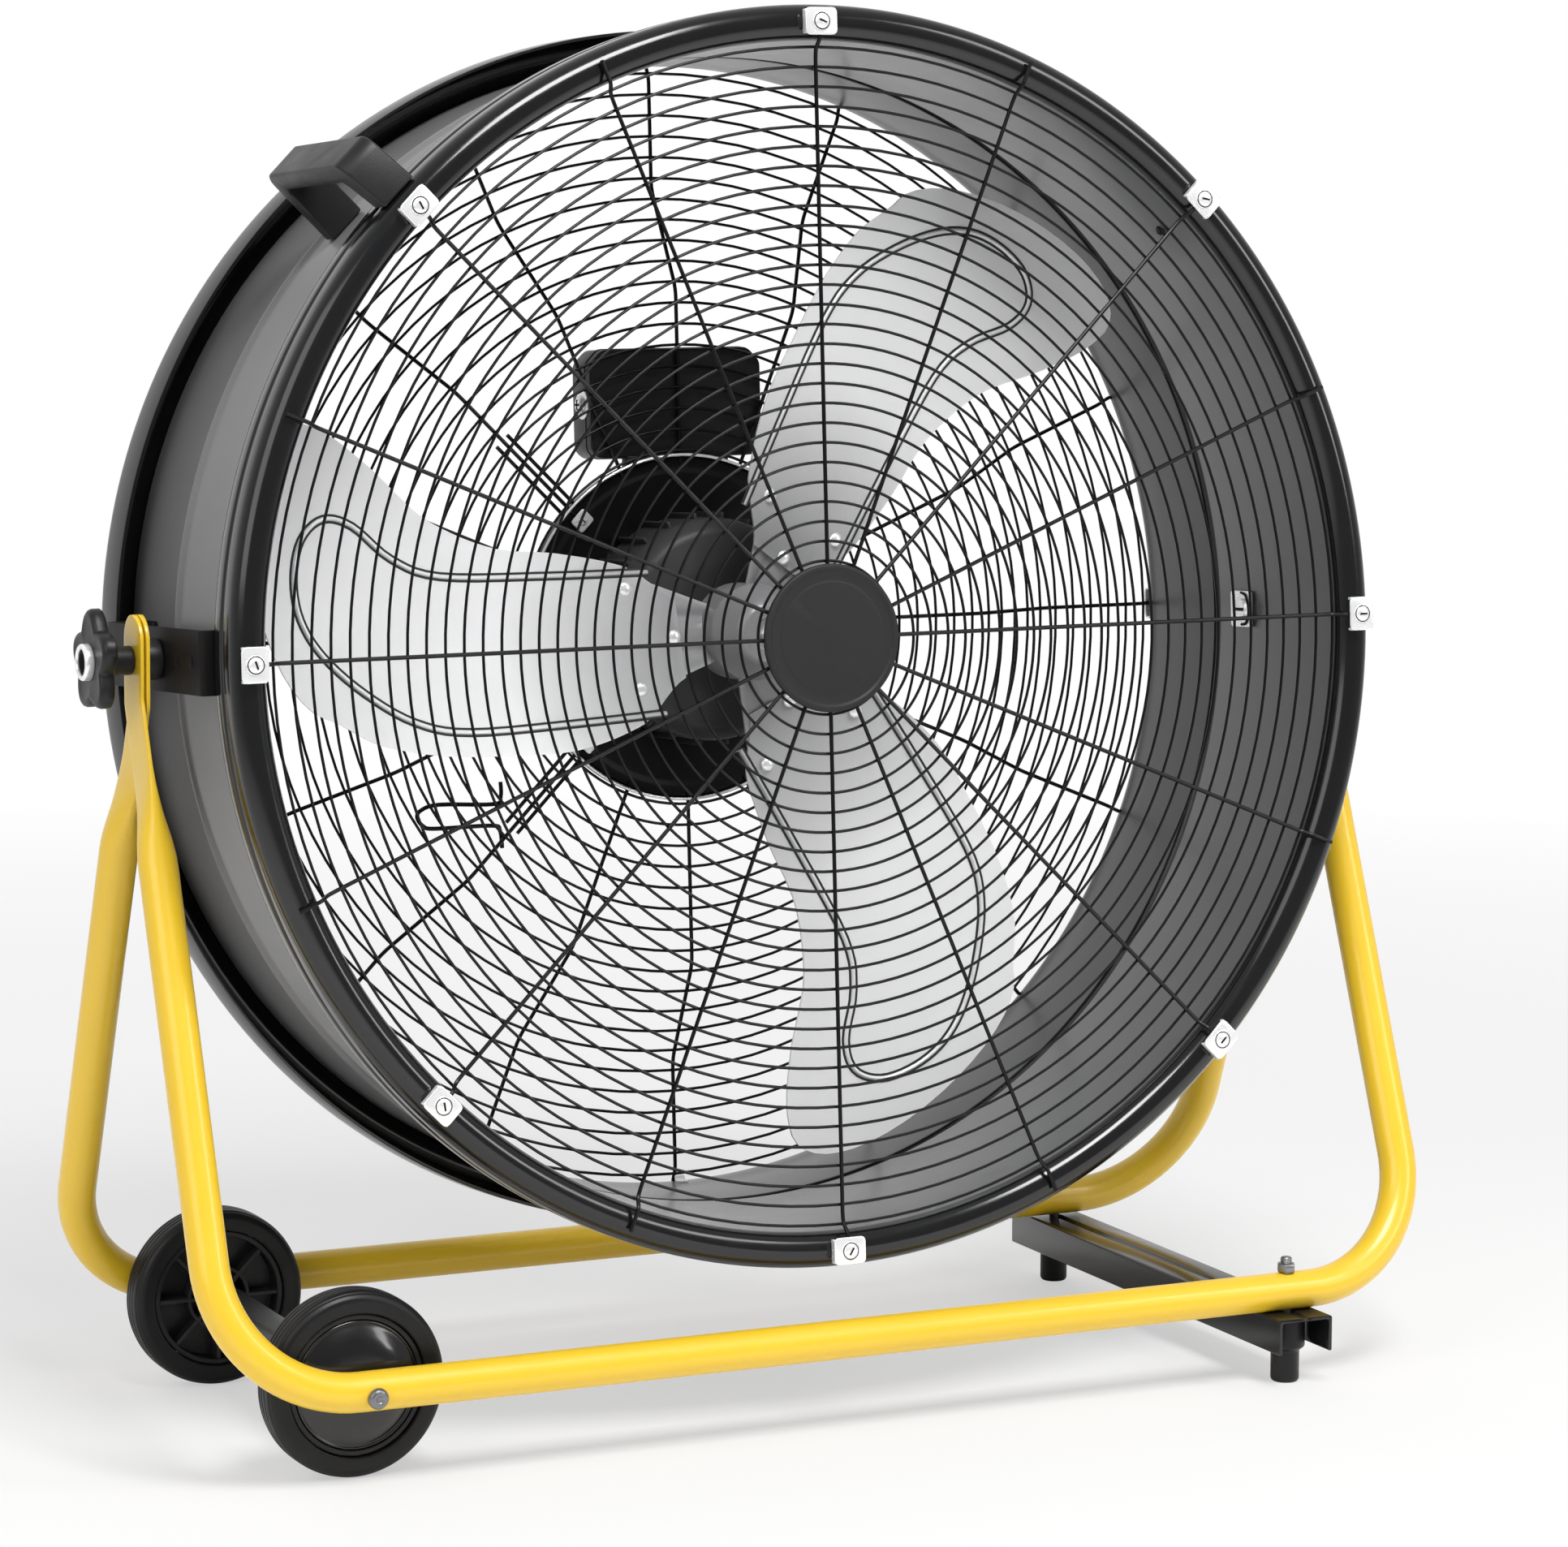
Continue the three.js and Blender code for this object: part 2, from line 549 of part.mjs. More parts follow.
// The speed dial turns on the back of the control box; its ridge is the pointer.
function speedDial() {
  const skirt = revolved(
    [
      [0, 0],
      [DIAL_RADIUS, 0],
      [DIAL_RADIUS, DIAL_SKIRT - 1],
      [DIAL_RADIUS - DIAL_BEVEL, DIAL_SKIRT],
      [0, DIAL_SKIRT],
    ],
    20,
  );
  const ridge = new THREE.BoxGeometry(DIAL_RIDGE, DIAL_LENGTH, 2 * (DIAL_RADIUS - DIAL_BEVEL));
  ridge.translate(0, DIAL_LENGTH / 2, 0);
  return joined(skirt, ridge);
}

// ---------------------------------------------------------------- rotor

// Stations of a blade, in shares of its reach: how far out, and its width on the leading and the
// trailing side.
const BLADE_STATIONS = [
  { reach: 0.146, lead: 0.069, trail: 0.083 },
  { reach: 0.243, lead: 0.128, trail: 0.167 },
  { reach: 0.382, lead: 0.156, trail: 0.212 },
  { reach: 0.521, lead: 0.17, trail: 0.219 },
  { reach: 0.66, lead: 0.229, trail: 0.215 },
  { reach: 0.781, lead: 0.337, trail: 0.191 },
  { reach: 0.885, lead: 0.403, trail: 0.139 },
  { reach: 0.955, lead: 0.361, trail: 0.049 },
  { reach: 1, lead: 0.264, trail: -0.09 },
].map((shares) => Object.fromEntries(Object.entries(shares).map(([key, share]) => [key, share * BLADE_TIP])));
const ARM_STATIONS = [
  { reach: 0.25 * SPIDER_REACH, half: 0.5 * ARM_HALF_WIDTH },
  { reach: 0.857 * SPIDER_REACH, half: ARM_HALF_WIDTH },
  { reach: SPIDER_REACH, half: 0.6 * ARM_HALF_WIDTH },
].map(({ reach, half }) => ({ reach, lead: half, trail: half }));

// The pressed surface of a blade: it slopes less towards the tip and is hollow across its width.
function bladeSurface(reach, across) {
  const slope = BLADE_SLOPE - BLADE_TWIST * (reach / BLADE_TIP - 0.5);
  const hollow = BLADE_CAMBER * (1 - (across / BLADE_CAMBER_WIDTH) ** 2);
  return BLADE_PLANE - slope * across + hollow;
}

// A pressed sheet: each outline crosses it on the front and comes back behind.
function pressedSheet(stations, lift) {
  const shares = [-1, -0.5, 0, 0.5, 1];
  const outlines = stations.map(({ reach, lead, trail }) => {
    const face = (share, side) => {
      const across = (trail - lead) / 2 + (share * (trail + lead)) / 2;
      const place = bladeSurface(reach, across) + lift + (side * BLADE_SHEET) / 2;
      return new THREE.Vector3(reach, place, across);
    };
    return [...shares.toReversed().map((share) => face(share, -1)), ...shares.map((share) => face(share, 1))];
  });
  return lofted(outlines);
}

const bladeAngle = (index) => radians(FIRST_BLADE) + turn(index, BLADES);
const blade = (index) => aimed(pressedSheet(BLADE_STATIONS, 0), bladeAngle(index));

// A grey hub tapers towards the front, with an arm behind each blade.
function rotorHub() {
  const front = HUB_FRONT;
  const rear = front + HUB_LENGTH;
  const outside = revolved(
    [
      [0, rear],
      [HUB_RADIUS, rear],
      [HUB_RADIUS, BLADE_PLANE - HUB_BEFORE_BLADES],
      [HUB_NOSE + HUB_BEVEL, front + HUB_BEVEL],
      [HUB_NOSE, front],
      [0, front],
    ],
    24,
  );
  const arms = Array.from({ length: BLADES }, (_, i) =>
    aimed(pressedSheet(ARM_STATIONS, BLADE_SHEET + GAP), bladeAngle(i)),
  );
  const bore = rod(SHAFT_RADIUS + GAP, HUB_LENGTH, 12).translate(0, rear - HUB_SOCKET + HUB_LENGTH / 2, 0);
  return cut(joined(outside, ...arms), bore);
}

// ---------------------------------------------------------------- handle
// The handle is an arch from the front rim to the barrel, with a space for the fingers under it.
function handle() {
  const rimSeat = RIM_RADIUS + GAP;
  const barrelSeat = BARREL_RADIUS + GAP;
  const start = FRONT_CREST + HANDLE_START;
  const end = start + HANDLE_LENGTH;
  const inside = HANDLE_REACH - HANDLE_GRIP;
  const corner = inside - HANDLE_INNER_BEVEL;
  const outline = [
    [rimSeat, start - HANDLE_TOE],
    [HANDLE_REACH - HANDLE_BEVEL, start - 1],
    [HANDLE_REACH, start + HANDLE_BEVEL - 1],
    [HANDLE_REACH, end - HANDLE_BEVEL],
    [HANDLE_REACH - HANDLE_BEVEL, end],
    [barrelSeat, end],
    [barrelSeat, end - HANDLE_GRIP],
    [corner, end - HANDLE_GRIP],
    [inside, end - HANDLE_GRIP - HANDLE_INNER_BEVEL],
    [inside, start + HANDLE_GRIP + HANDLE_INNER_BEVEL],
    [corner, start + HANDLE_GRIP],
    [rimSeat, start + HANDLE_GRIP - HANDLE_HEEL],
  ];
  return aimed(extruded(outline, HANDLE_WIDTH), radians(HANDLE_ANGLE));
}

// ---------------------------------------------------------------- tilt pivot, built for the right side
// The bracket stands on the barrel between the rims' bands, with its feet turned in and its web
// outside the rims. The fan's front lies at -Y (forward 1) or at +Y (forward -1).
function pivotBracket(forward) {
  const seat = BARREL_RADIUS + GAP;
  const front = FRONT_CREST + RIM_BAND + BRACKET_CLEARANCE;
  const rear = REAR_CREST - RIM_BAND - BRACKET_CLEARANCE;
  const sheet = BRACKET_SHEET;
  const web = BRACKET_OUTSIDE - sheet;
  const bevel = 1.2 * sheet;
  const outline = [
    [seat + sheet, front + BRACKET_FOOT],
    [seat, front + BRACKET_FOOT],
    [seat, front],
    [BRACKET_OUTSIDE - bevel, front],
    [BRACKET_OUTSIDE, front + bevel],
    [BRACKET_OUTSIDE, rear - bevel],
    [BRACKET_OUTSIDE - bevel, rear],
    [seat, rear],
    [seat, rear - BRACKET_FOOT],
    [seat + sheet, rear - BRACKET_FOOT],
    [seat + sheet, rear - sheet],
    [web, rear - sheet],
    [web, front + sheet],
    [seat + sheet, front + sheet],
  ].map(([x, y]) => [x, forward * y]);
  return cut(extruded(outline, BRACKET_WIDTH), alongX(rod(BOLT_HOLE, 3 * RIM_RADIUS)));
}

function pivotPlate() {
  const plate = new THREE.BoxGeometry(PIVOT_PLATE_SHEET, PIVOT_PLATE_SIZE, PIVOT_PLATE_SIZE);
  plate.translate(PIVOT_PLATE_SEAT - PIVOT_PLATE_SHEET / 2, 0, 0);
  return cut(plate, alongX(rod(BOLT_HOLE, 3 * RIM_RADIUS)));
}

function pivotBolt() {
  const under = PIVOT_PLATE_SEAT - PIVOT_PLATE_SHEET - GAP;
  const tip = KNOB_DISC_START - 1;
  const profile = [
    [0, under - 3],
    [PIVOT_BOLT_RADIUS + 2, under - 3],
    [PIVOT_BOLT_RADIUS + 3, under],
    [PIVOT_BOLT_RADIUS, under],
    [PIVOT_BOLT_RADIUS, tip],
    [0, tip],
  ];
  return alongX(revolved(profile, 12));
}

// A plain ring about the X axis.
function collar(inner, outer, start, end, sides = 14) {
  const profile = [
    [inner, start],
    [outer, start],
    [outer, end],
    [inner, end],
  ];
  return alongX(revolved(profile, sides));
}

const pivotSpacer = () =>
  collar(BOLT_HOLE, SPACER_RADIUS, BRACKET_OUTSIDE + GAP, LEG_X - PADDLE_THICKNESS - GAP / 2 - GAP);

// The knob is a hub with a lobed disc, one lobe at the top, and a blind bore for the bolt.
function clampKnob() {
  const outline = Array.from({ length: KNOB_LOBES * 6 }, (_, i) => {
    const angle = turn(i, KNOB_LOBES * 6);
    const radius = blend(KNOB_VALLEY, KNOB_RADIUS, (1 + Math.cos(KNOB_LOBES * angle)) / 2);
    return [radius * Math.sin(angle), radius * Math.cos(angle)];
  });
  const disc = extruded(outline.reverse(), KNOB_THICKNESS).rotateX(Math.PI / 2).rotateZ(Math.PI / 2);
  disc.translate(KNOB_DISC_START + KNOB_THICKNESS / 2, 0, 0);
  const hub = alongX(rod(KNOB_HUB_RADIUS, KNOB_HUB_LENGTH + 2, 20));
  hub.translate(KNOB_START + KNOB_HUB_LENGTH / 2 + 1, 0, 0);
  const bore = alongX(rod(BOLT_HOLE, 2 * KNOB_HUB_LENGTH, 12)).translate(KNOB_START, 0, 0);
  return cut(joined(hub, disc), bore);
}

function knobCap() {
  const start = KNOB_END + GAP;
  const end = start + KNOB_CAP_LENGTH;
  const profile = [
    [0, start],
    [KNOB_CAP_RADIUS, start],
    [KNOB_CAP_RADIUS, end - 1],
    [KNOB_CAP_RADIUS - 1, end],
    [KNOB_CAP_RADIUS - 3.5, end],
    [KNOB_CAP_RADIUS - 4.5, start + 1.5],
    [0, start + 1.5],
  ];
  return alongX(revolved(profile, 14));
}

// ---------------------------------------------------------------- stand
// One half of the tube's path, from its flat end above the pivot to the middle of the floor run:
// place across (x), distance below the pivot along the leg (down), share of the leg's slant (lean),
// bend so far (turned), and the section there.
function tubeStations(paddleX, legLength) {
  const flat = { half: PADDLE_THICKNESS / 2, wide: PADDLE_WIDTH / 2, corner: 0.35 };
  const round = { half: TUBE_RADIUS, wide: TUBE_RADIUS, corner: 1 };
  const stations = [];
  for (const angle of [12, 35, 60, 90].map(radians)) {
    const down = (PADDLE_WIDTH / 2) * (1 - Math.cos(angle)) - PADDLE_TOP;
    stations.push({ ...flat, wide: flat.wide * Math.sin(angle), x: paddleX, down, lean: 0, turned: 0 });
  }
  stations.push({ ...flat, x: paddleX, down: PADDLE_FLAT, lean: 0.5, turned: 0 });
  for (const share of [0, 1 / 3, 2 / 3, 1]) {
    const section = Object.fromEntries(
      Object.keys(flat).map((key) => [key, blend(flat[key], round[key], share)]),
    );
    const x = blend(paddleX, LEG_X, share);
    const down = PADDLE_FLAT + PADDLE_SPLIT + share * PADDLE_TAPER;
    stations.push({ ...section, x, down, lean: 1, turned: 0 });
  }
  for (let step = 0; step <= BEND_STEPS; step++) {
    const turned = ((Math.PI / 2) * step) / BEND_STEPS;
    const x = LEG_X - BEND_RADIUS * (1 - Math.cos(turned));
    const down = PADDLE_FLAT + legLength - BEND_RADIUS * (1 - Math.sin(turned));
    stations.push({ ...round, x, down, lean: 1, turned });
  }
  return stations;
}

// The whole tube, front (side -1) or rear (side 1), as a skin over its sections. Its flat ends stand
// upright at the pivots, and its legs slant outwards below them.
function tubeFrame(side, paddleX) {
  const fall = PIVOT_HEIGHT - TUBE_RUN_HEIGHT - PADDLE_FLAT;
  const legLength = Math.hypot(STAND_HALF_DEPTH, fall);
  const upright = new THREE.Vector3(0, 0, -1);
  const slant = new THREE.Vector3(0, side * STAND_HALF_DEPTH, -fall).normalize();
  const right = new THREE.Vector3(1, 0, 0);
  const half = tubeStations(paddleX, legLength);
  const left = half.map((station) => ({ ...station, x: -station.x, hand: -1 }));
  const outlines = [...left, ...half.toReversed().map((station) => ({ ...station, hand: 1 }))].map(
    ({ x, down, lean, turned, half: thick, wide, corner, hand }) => {
      const onLeg = Math.max(down - PADDLE_FLAT, 0);
      const middle = new THREE.Vector3(x, 0, onLeg - down).addScaledVector(slant, onLeg);
      const across = new THREE.Vector3().crossVectors(right, upright.clone().lerp(slant, lean)).normalize();
      const out = right.clone().multiplyScalar(hand * Math.cos(turned));
      out.addScaledVector(slant, Math.sin(turned));
      return Array.from({ length: TUBE_SIDES }, (_, i) => {
        const angle = turn(i, TUBE_SIDES);
        const cos = Math.cos(angle);
        const along = thick * Math.sign(cos) * Math.abs(cos) ** corner;
        return middle.clone().addScaledVector(out, along).addScaledVector(across, wide * Math.sin(angle));
      });
    },
  );
  const skin = lofted(outlines).translate(0, 0, PIVOT_HEIGHT);
  const pivotHole = alongX(rod(BOLT_HOLE, 3 * RIM_RADIUS)).translate(0, 0, PIVOT_HEIGHT);
  const runPlace = side * STAND_HALF_DEPTH;
  const axleHole = rod(AXLE_HOLE, 4 * TUBE_RADIUS).translate(AXLE_X, runPlace, WHEEL_RADIUS);
  const boltHole = alongZ(rod(FOOT_BOLT_HOLE, 4 * TUBE_RADIUS));
  boltHole.translate(FOOT_BAR_X, runPlace, TUBE_RUN_HEIGHT);
  return cut(skin, pivotHole, axleHole, boltHole);
}

// ---------------------------------------------------------------- axle and wheels, about the Y axis
const HUBCAP_FACE = STAND_HALF_DEPTH - TUBE_RADIUS - 2; // outermost point of a hubcap

function axle() {
  const head = STAND_HALF_DEPTH + TUBE_RADIUS + GAP;
  const end = STAND_HALF_DEPTH + TUBE_RADIUS + AXLE_NUT + 3;
  const profile = [
    [0, -head - 3.4],
    [AXLE_HEAD_RADIUS - 2, -head - 3],
    [AXLE_HEAD_RADIUS, -head - 1],
    [AXLE_HEAD_RADIUS, -head],
    [AXLE_RADIUS, -head],
    [AXLE_RADIUS, end],
    [0, end],
  ];
  return revolved(profile, 16);
}

function ringAboutY(inner, outer, start, end, sides = 20) {
  const profile = [
    [inner, start],
    [outer, start],
    [outer, end],
    [inner, end],
  ];
  return revolved(profile, sides);
}

const axleSleeve = () => {
  const reach = WHEEL_MIDDLE - WHEEL_WIDTH / 2 - GAP;
  return ringAboutY(AXLE_HOLE, SLEEVE_RADIUS, -reach, reach);
};

function tyre() {
  const half = WHEEL_WIDTH / 2;
  const profile = [
    [TYRE_INNER + GAP, -half],
    [WHEEL_RADIUS - 3.5, -half],
    [WHEEL_RADIUS, -half + 3.5],
    [WHEEL_RADIUS, half - 3.5],
    [WHEEL_RADIUS - 3.5, half],
    [TYRE_INNER + GAP, half],
  ];
  return revolved(profile, 28);
}

// The wheel's centre is open on its inner side, where ribs join the boss to the rim.
function wheelCentre() {
  const half = WHEEL_WIDTH / 2;
  const profile = [
    [AXLE_HOLE, -half],
    [BOSS_RADIUS, -half],
    [BOSS_RADIUS, WEB_PLACE],
    [TYRE_INNER - WHEEL_RIM, WEB_PLACE],
    [TYRE_INNER - WHEEL_RIM, -half + 2],
    [TYRE_INNER, -half + 2],
    [TYRE_INNER, half - 2],
    [TYRE_INNER - WHEEL_RIM, half - 2],
    [TYRE_INNER - WHEEL_RIM, WEB_PLACE + WEB],
    [AXLE_HOLE, WEB_PLACE + WEB],
  ];
  const length = TYRE_INNER - WHEEL_RIM - BOSS_RADIUS + 2;
  const ribs = Array.from({ length: RIBS }, (_, i) => {
    const rib = new THREE.BoxGeometry(length, WEB_PLACE + half - 3, 2.2);
    return aimed(rib.translate(BOSS_RADIUS - 1 + length / 2, (WEB_PLACE - half + 3) / 2, 0), turn(i, RIBS));
  });
  return joined(revolved(profile, 28), ...ribs);
}

function hubcap() {
  const edge = TYRE_INNER - WHEEL_RIM - GAP;
  const back = WHEEL_MIDDLE + WEB_PLACE + WEB + GAP;
  const profile = [
    [AXLE_HOLE, back],
    [edge, back],
    [edge, back + 3],
    [edge * 0.85, blend(back, HUBCAP_FACE, 0.6)],
    [edge * 0.5, HUBCAP_FACE - 0.7],
    [AXLE_HOLE, HUBCAP_FACE],
  ];
  return revolved(profile, 16);
}

const wheelWasher = () => {
  const end = STAND_HALF_DEPTH - TUBE_RADIUS - GAP;
  return ringAboutY(AXLE_HOLE, 2 * AXLE_RADIUS, HUBCAP_FACE + GAP, end, 12);
};

// A six-sided nut about the Y axis.
const nut = (hole, radius, start, end) => cut(
  rod(radius, end - start, 6).translate(0, (start + end) / 2, 0),
  rod(hole, 4 * (end - start)).translate(0, (start + end) / 2, 0),
);

const axleNut = () => {
  const start = STAND_HALF_DEPTH + TUBE_RADIUS + GAP;
  return nut(AXLE_HOLE, AXLE_HEAD_RADIUS + 1.5, start, start + AXLE_NUT);
};

// ---------------------------------------------------------------- foot bar
// A channel open downwards, with a groove along its top.
function footBar() {
  const half = FOOT_BAR_WIDTH / 2;
  const sheet = FOOT_BAR_SHEET;
  const outline = [
    [-half, -FOOT_BAR_HEIGHT],
    [-half, 0],
    [-1.5, 0],
    [-1, -0.9],
    [1, -0.9],
    [1.5, 0],
    [half, 0],
    [half, -FOOT_BAR_HEIGHT],
    [half - sheet, -FOOT_BAR_HEIGHT],
    [half - sheet, -sheet],
    [sheet - half, -sheet],
    [sheet - half, -FOOT_BAR_HEIGHT],
  ];
  const bar = extruded(outline, 2 * FOOT_BAR_HALF_LENGTH).rotateX(Math.PI / 2);
  bar.translate(FOOT_BAR_X, 0, FOOT_BAR_TOP);
  const holes = [-1, 1].map((side) =>
    alongZ(rod(FOOT_BOLT_HOLE, 4 * sheet)).translate(FOOT_BAR_X, side * STAND_HALF_DEPTH, FOOT_BAR_TOP),
  );
  return cut(bar, ...holes);
}

// A rubber foot, pushed up into the channel; its bolt goes up through the bar and the tube.
function foot() {
  const top = FOOT_BAR_TOP - FOOT_BAR_SHEET - GAP;
  const profile = [
    [0, 0],
    [FOOT_RADIUS - 1, 0],
    [FOOT_RADIUS, 1.5],
    [FOOT_RADIUS, FOOT_BAR_BOTTOM],
    [FOOT_RADIUS + 3, FOOT_BAR_BOTTOM + 1],
    [FOOT_RADIUS + 3, top],
    [0, top],
  ];
  const bore = alongZ(rod(FOOT_BOLT_HOLE, FOOT_BOLT_GRIP * 2)).translate(0, 0, top);
  return cut(alongZ(revolved(profile, 12)), bore);
}

function footBolt() {
  const start = FOOT_BAR_TOP - FOOT_BAR_SHEET - FOOT_BOLT_GRIP + 1;
  const end = TUBE_RUN_HEIGHT + TUBE_RADIUS + FOOT_NUT + 4;
  return alongZ(rod(FOOT_BOLT_RADIUS, end - start)).translate(0, 0, (start + end) / 2);
}

const footNut = () => {
  const start = TUBE_RUN_HEIGHT + TUBE_RADIUS + GAP;
  return alongZ(nut(FOOT_BOLT_HOLE, FOOT_BOLT_RADIUS + 2.4, start, start + FOOT_NUT));
};

// ---------------------------------------------------------------- assembly
const fan = new THREE.Group();
const drum = new THREE.Group();
drum.position.z = PIVOT_HEIGHT;
drum.rotation.x = -radians(DRUM_TILT);
fan.add(drum);

function piece(group, name, geometry, finishName) {
  const mesh = new THREE.Mesh(geometry, FINISHES[finishName]);
  mesh.name = name;
  group.add(mesh);
  return mesh;
}

piece(drum, "drum_shell", drumShell(), "black_steel");
piece(drum, "front_grille", frontGrille(), "black_wire");
piece(drum, "front_grille_spokes", frontSpokes(), "black_wire");
piece(drum, "rear_guard", rearGuard(), "black_wire");
piece(drum, "motor_plate", rearSpokes(), "black_wire");
piece(drum, "badge", badge(), "black_plastic");
for (let i = 0; i < FRONT_CLIPS; i++) {
  piece(drum, `front_clip_${i + 1}`, clip(i, FRONT_CLIPS, FRONT_CREST, -1), "bright_steel");
}
for (let i = 0; i < REAR_CLIPS; i++) {
  piece(drum, `rear_clip_${i + 1}`, clip(i, REAR_CLIPS, REAR_CREST, 1), "bright_steel");
}
piece(drum, "motor_housing", motorHousing(), "black_steel");
piece(drum, "control_box", controlBox(), "black_plastic");
const dial = piece(drum, "speed_dial", speedDial(), "black_plastic");
const boxBack = MOTOR_PLATE_FRONT + MOTOR_PLATE_THICKNESS + GAP + BOX_DEPTH;
dial.position.set(DIAL_X, boxBack + GAP, BOX_BOTTOM + BOX_HEIGHT / 2);
piece(drum, "carry_handle", handle(), "black_plastic");

piece(drum, "motor_shaft", motorShaft(), "bright_steel");
piece(drum, "rotor_hub", rotorHub(), "grey_steel");
for (let i = 0; i < BLADES; i++) piece(drum, `blade_${i + 1}`, blade(i), "grey_steel");

for (const [name, half] of [["right", 0], ["left", Math.PI]]) {
  const side = new THREE.Group();
  side.rotation.z = half;
  drum.add(side);
  piece(side, `${name}_pivot_bracket`, pivotBracket(Math.cos(half)), "black_steel");
  piece(side, `${name}_pivot_plate`, pivotPlate(), "bright_steel");
  piece(side, `${name}_pivot_bolt`, pivotBolt(), "bright_steel");
  piece(side, `${name}_pivot_spacer`, pivotSpacer(), "black_plastic");
  piece(side, `${name}_knob`, clampKnob(), "black_plastic");
  piece(side, `${name}_knob_cap`, knobCap(), "bright_steel");
}

const paddleShift = (PADDLE_THICKNESS + GAP) / 2;
piece(fan, "front_tube_frame", tubeFrame(-1, LEG_X + paddleShift), "yellow");
piece(fan, "rear_tube_frame", tubeFrame(1, LEG_X - paddleShift), "yellow");
piece(fan, "foot_bar", footBar(), "black_steel");
for (const [name, side] of [["front", -1], ["rear", 1]]) {
  const corner = new THREE.Group();
  corner.position.set(FOOT_BAR_X, side * STAND_HALF_DEPTH, 0);
  fan.add(corner);
  piece(corner, `${name}_foot`, foot(), "rubber");
  piece(corner, `${name}_foot_bolt`, footBolt(), "bright_steel");
  piece(corner, `${name}_foot_nut`, footNut(), "bright_steel");
}

const axleLine = new THREE.Group();
axleLine.position.set(AXLE_X, 0, WHEEL_RADIUS);
fan.add(axleLine);
piece(axleLine, "axle", axle(), "bright_steel");
piece(axleLine, "axle_nut", axleNut(), "bright_steel");
piece(axleLine, "axle_sleeve", axleSleeve(), "black_steel");
for (const [name, half] of [["rear", 0], ["front", Math.PI]]) {
  const side = new THREE.Group();
  side.rotation.z = half;
  axleLine.add(side);
  piece(side, `${name}_tyre`, tyre().translate(0, WHEEL_MIDDLE, 0), "rubber");
  piece(side, `${name}_wheel_centre`, wheelCentre().translate(0, WHEEL_MIDDLE, 0), "black_plastic");
  piece(side, `${name}_hubcap`, hubcap(), "black_plastic");
  piece(side, `${name}_wheel_washer`, wheelWasher(), "bright_steel");
}

export default fan;
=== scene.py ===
"""Looks of the drum fan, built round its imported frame. Lengths in the shape code are millimetres."""
from math import copysign, cos, exp, hypot, pi, radians, sin, sqrt

import bmesh
import bpy
from mathutils import Matrix, Vector


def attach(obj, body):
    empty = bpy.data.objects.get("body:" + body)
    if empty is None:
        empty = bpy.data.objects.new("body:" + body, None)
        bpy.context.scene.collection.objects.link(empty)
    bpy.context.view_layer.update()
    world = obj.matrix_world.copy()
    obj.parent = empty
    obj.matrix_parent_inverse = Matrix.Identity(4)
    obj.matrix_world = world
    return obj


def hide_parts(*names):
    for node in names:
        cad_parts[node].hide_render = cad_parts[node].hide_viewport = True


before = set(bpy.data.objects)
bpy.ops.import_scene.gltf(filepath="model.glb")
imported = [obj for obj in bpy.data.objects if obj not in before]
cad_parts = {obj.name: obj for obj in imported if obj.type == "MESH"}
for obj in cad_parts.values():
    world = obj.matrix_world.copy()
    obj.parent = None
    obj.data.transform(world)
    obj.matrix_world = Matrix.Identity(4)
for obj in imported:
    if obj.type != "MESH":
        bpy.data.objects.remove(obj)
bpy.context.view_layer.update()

# ---- sizes shared with the frame
MM = 0.001
GAP = 0.3  # left between parts that lie on each other
PIVOT_HEIGHT = 420
DRUM_TILT = 3.75
RIM_RADIUS, BARREL_RADIUS, SHEET = 340, 322, 1.6
BARREL_INSIDE = BARREL_RADIUS - SHEET
FRONT_CREST, REAR_CREST, RIM_BAND = -102.8, 120.3, 32
RIM_ROLL = (RIM_RADIUS - BARREL_RADIUS + SHEET) / 2
BEAD_PLACE, BEAD_HEIGHT, BEAD_HALF = 35, 2.4, 4.5
CLIP_RADIUS = RIM_RADIUS - RIM_ROLL
SPOKES, WIRE_RADIUS, SPOKE_RADIUS = 16, 0.84, 1.14
GRILLE_RADIUS = BARREL_INSIDE - 3.4
FRONT_RINGS, FRONT_RING_PITCH, FRONT_RING_PLANE = 27, 10.6, -97
REAR_RINGS, REAR_RING_PITCH, REAR_RING_PLANE = 19, 12, 116.2
DISH_OUTER, DISH_INNER, DISH_PLANE = 251, 193, 86
BADGE_RADIUS, BADGE_BACK = 40, -100.6
FRONT_SPOKE_START, REAR_SPOKE_START = BADGE_RADIUS - 4, 94
PLATE_FRONT, PLATE_RADIUS = DISH_PLANE + 1.45, 99
BOX_BACK, BOX_DEPTH = PLATE_FRONT + 2.9, 26
BLADE_PLANE = -3
FIRST_BLADE = 59
LEG_X, STAND_HALF, TUBE_RADIUS, BEND_RADIUS = 357.5, 134, 10.5, 72
PADDLE = (1.5, 14, 0.30)  # half thickness, half width and squareness of the tube's flat end
PADDLE_STEP = 1.65  # how far the flat ends lie from the legs' middle, out in front and in behind
PADDLE_FACE = PADDLE_STEP + PADDLE[0]
PADDLE_TOP, PADDLE_FLAT, PADDLE_SPLIT, PADDLE_TAPER = 24, 22, 34, 56
WHEEL_RADIUS, WHEEL_WIDTH, WHEEL_MIDDLE, AXLE_X, BORE = 49.5, 22, 106, -279, 4.3
RUN_HEIGHT = WHEEL_RADIUS + 1.5  # of the tubes' runs on the floor side
BAR_X, BAR_HEIGHT = 270, 20  # the foot bar
BAR_TOP = RUN_HEIGHT - TUBE_RADIUS - GAP


def shift(x, y, z):
    return Matrix.Translation((x, y, z))


def aimed(angle):
    """Turns what points along +X to an angle round the Y axis."""
    return Matrix.Rotation(-angle, 4, "Y")


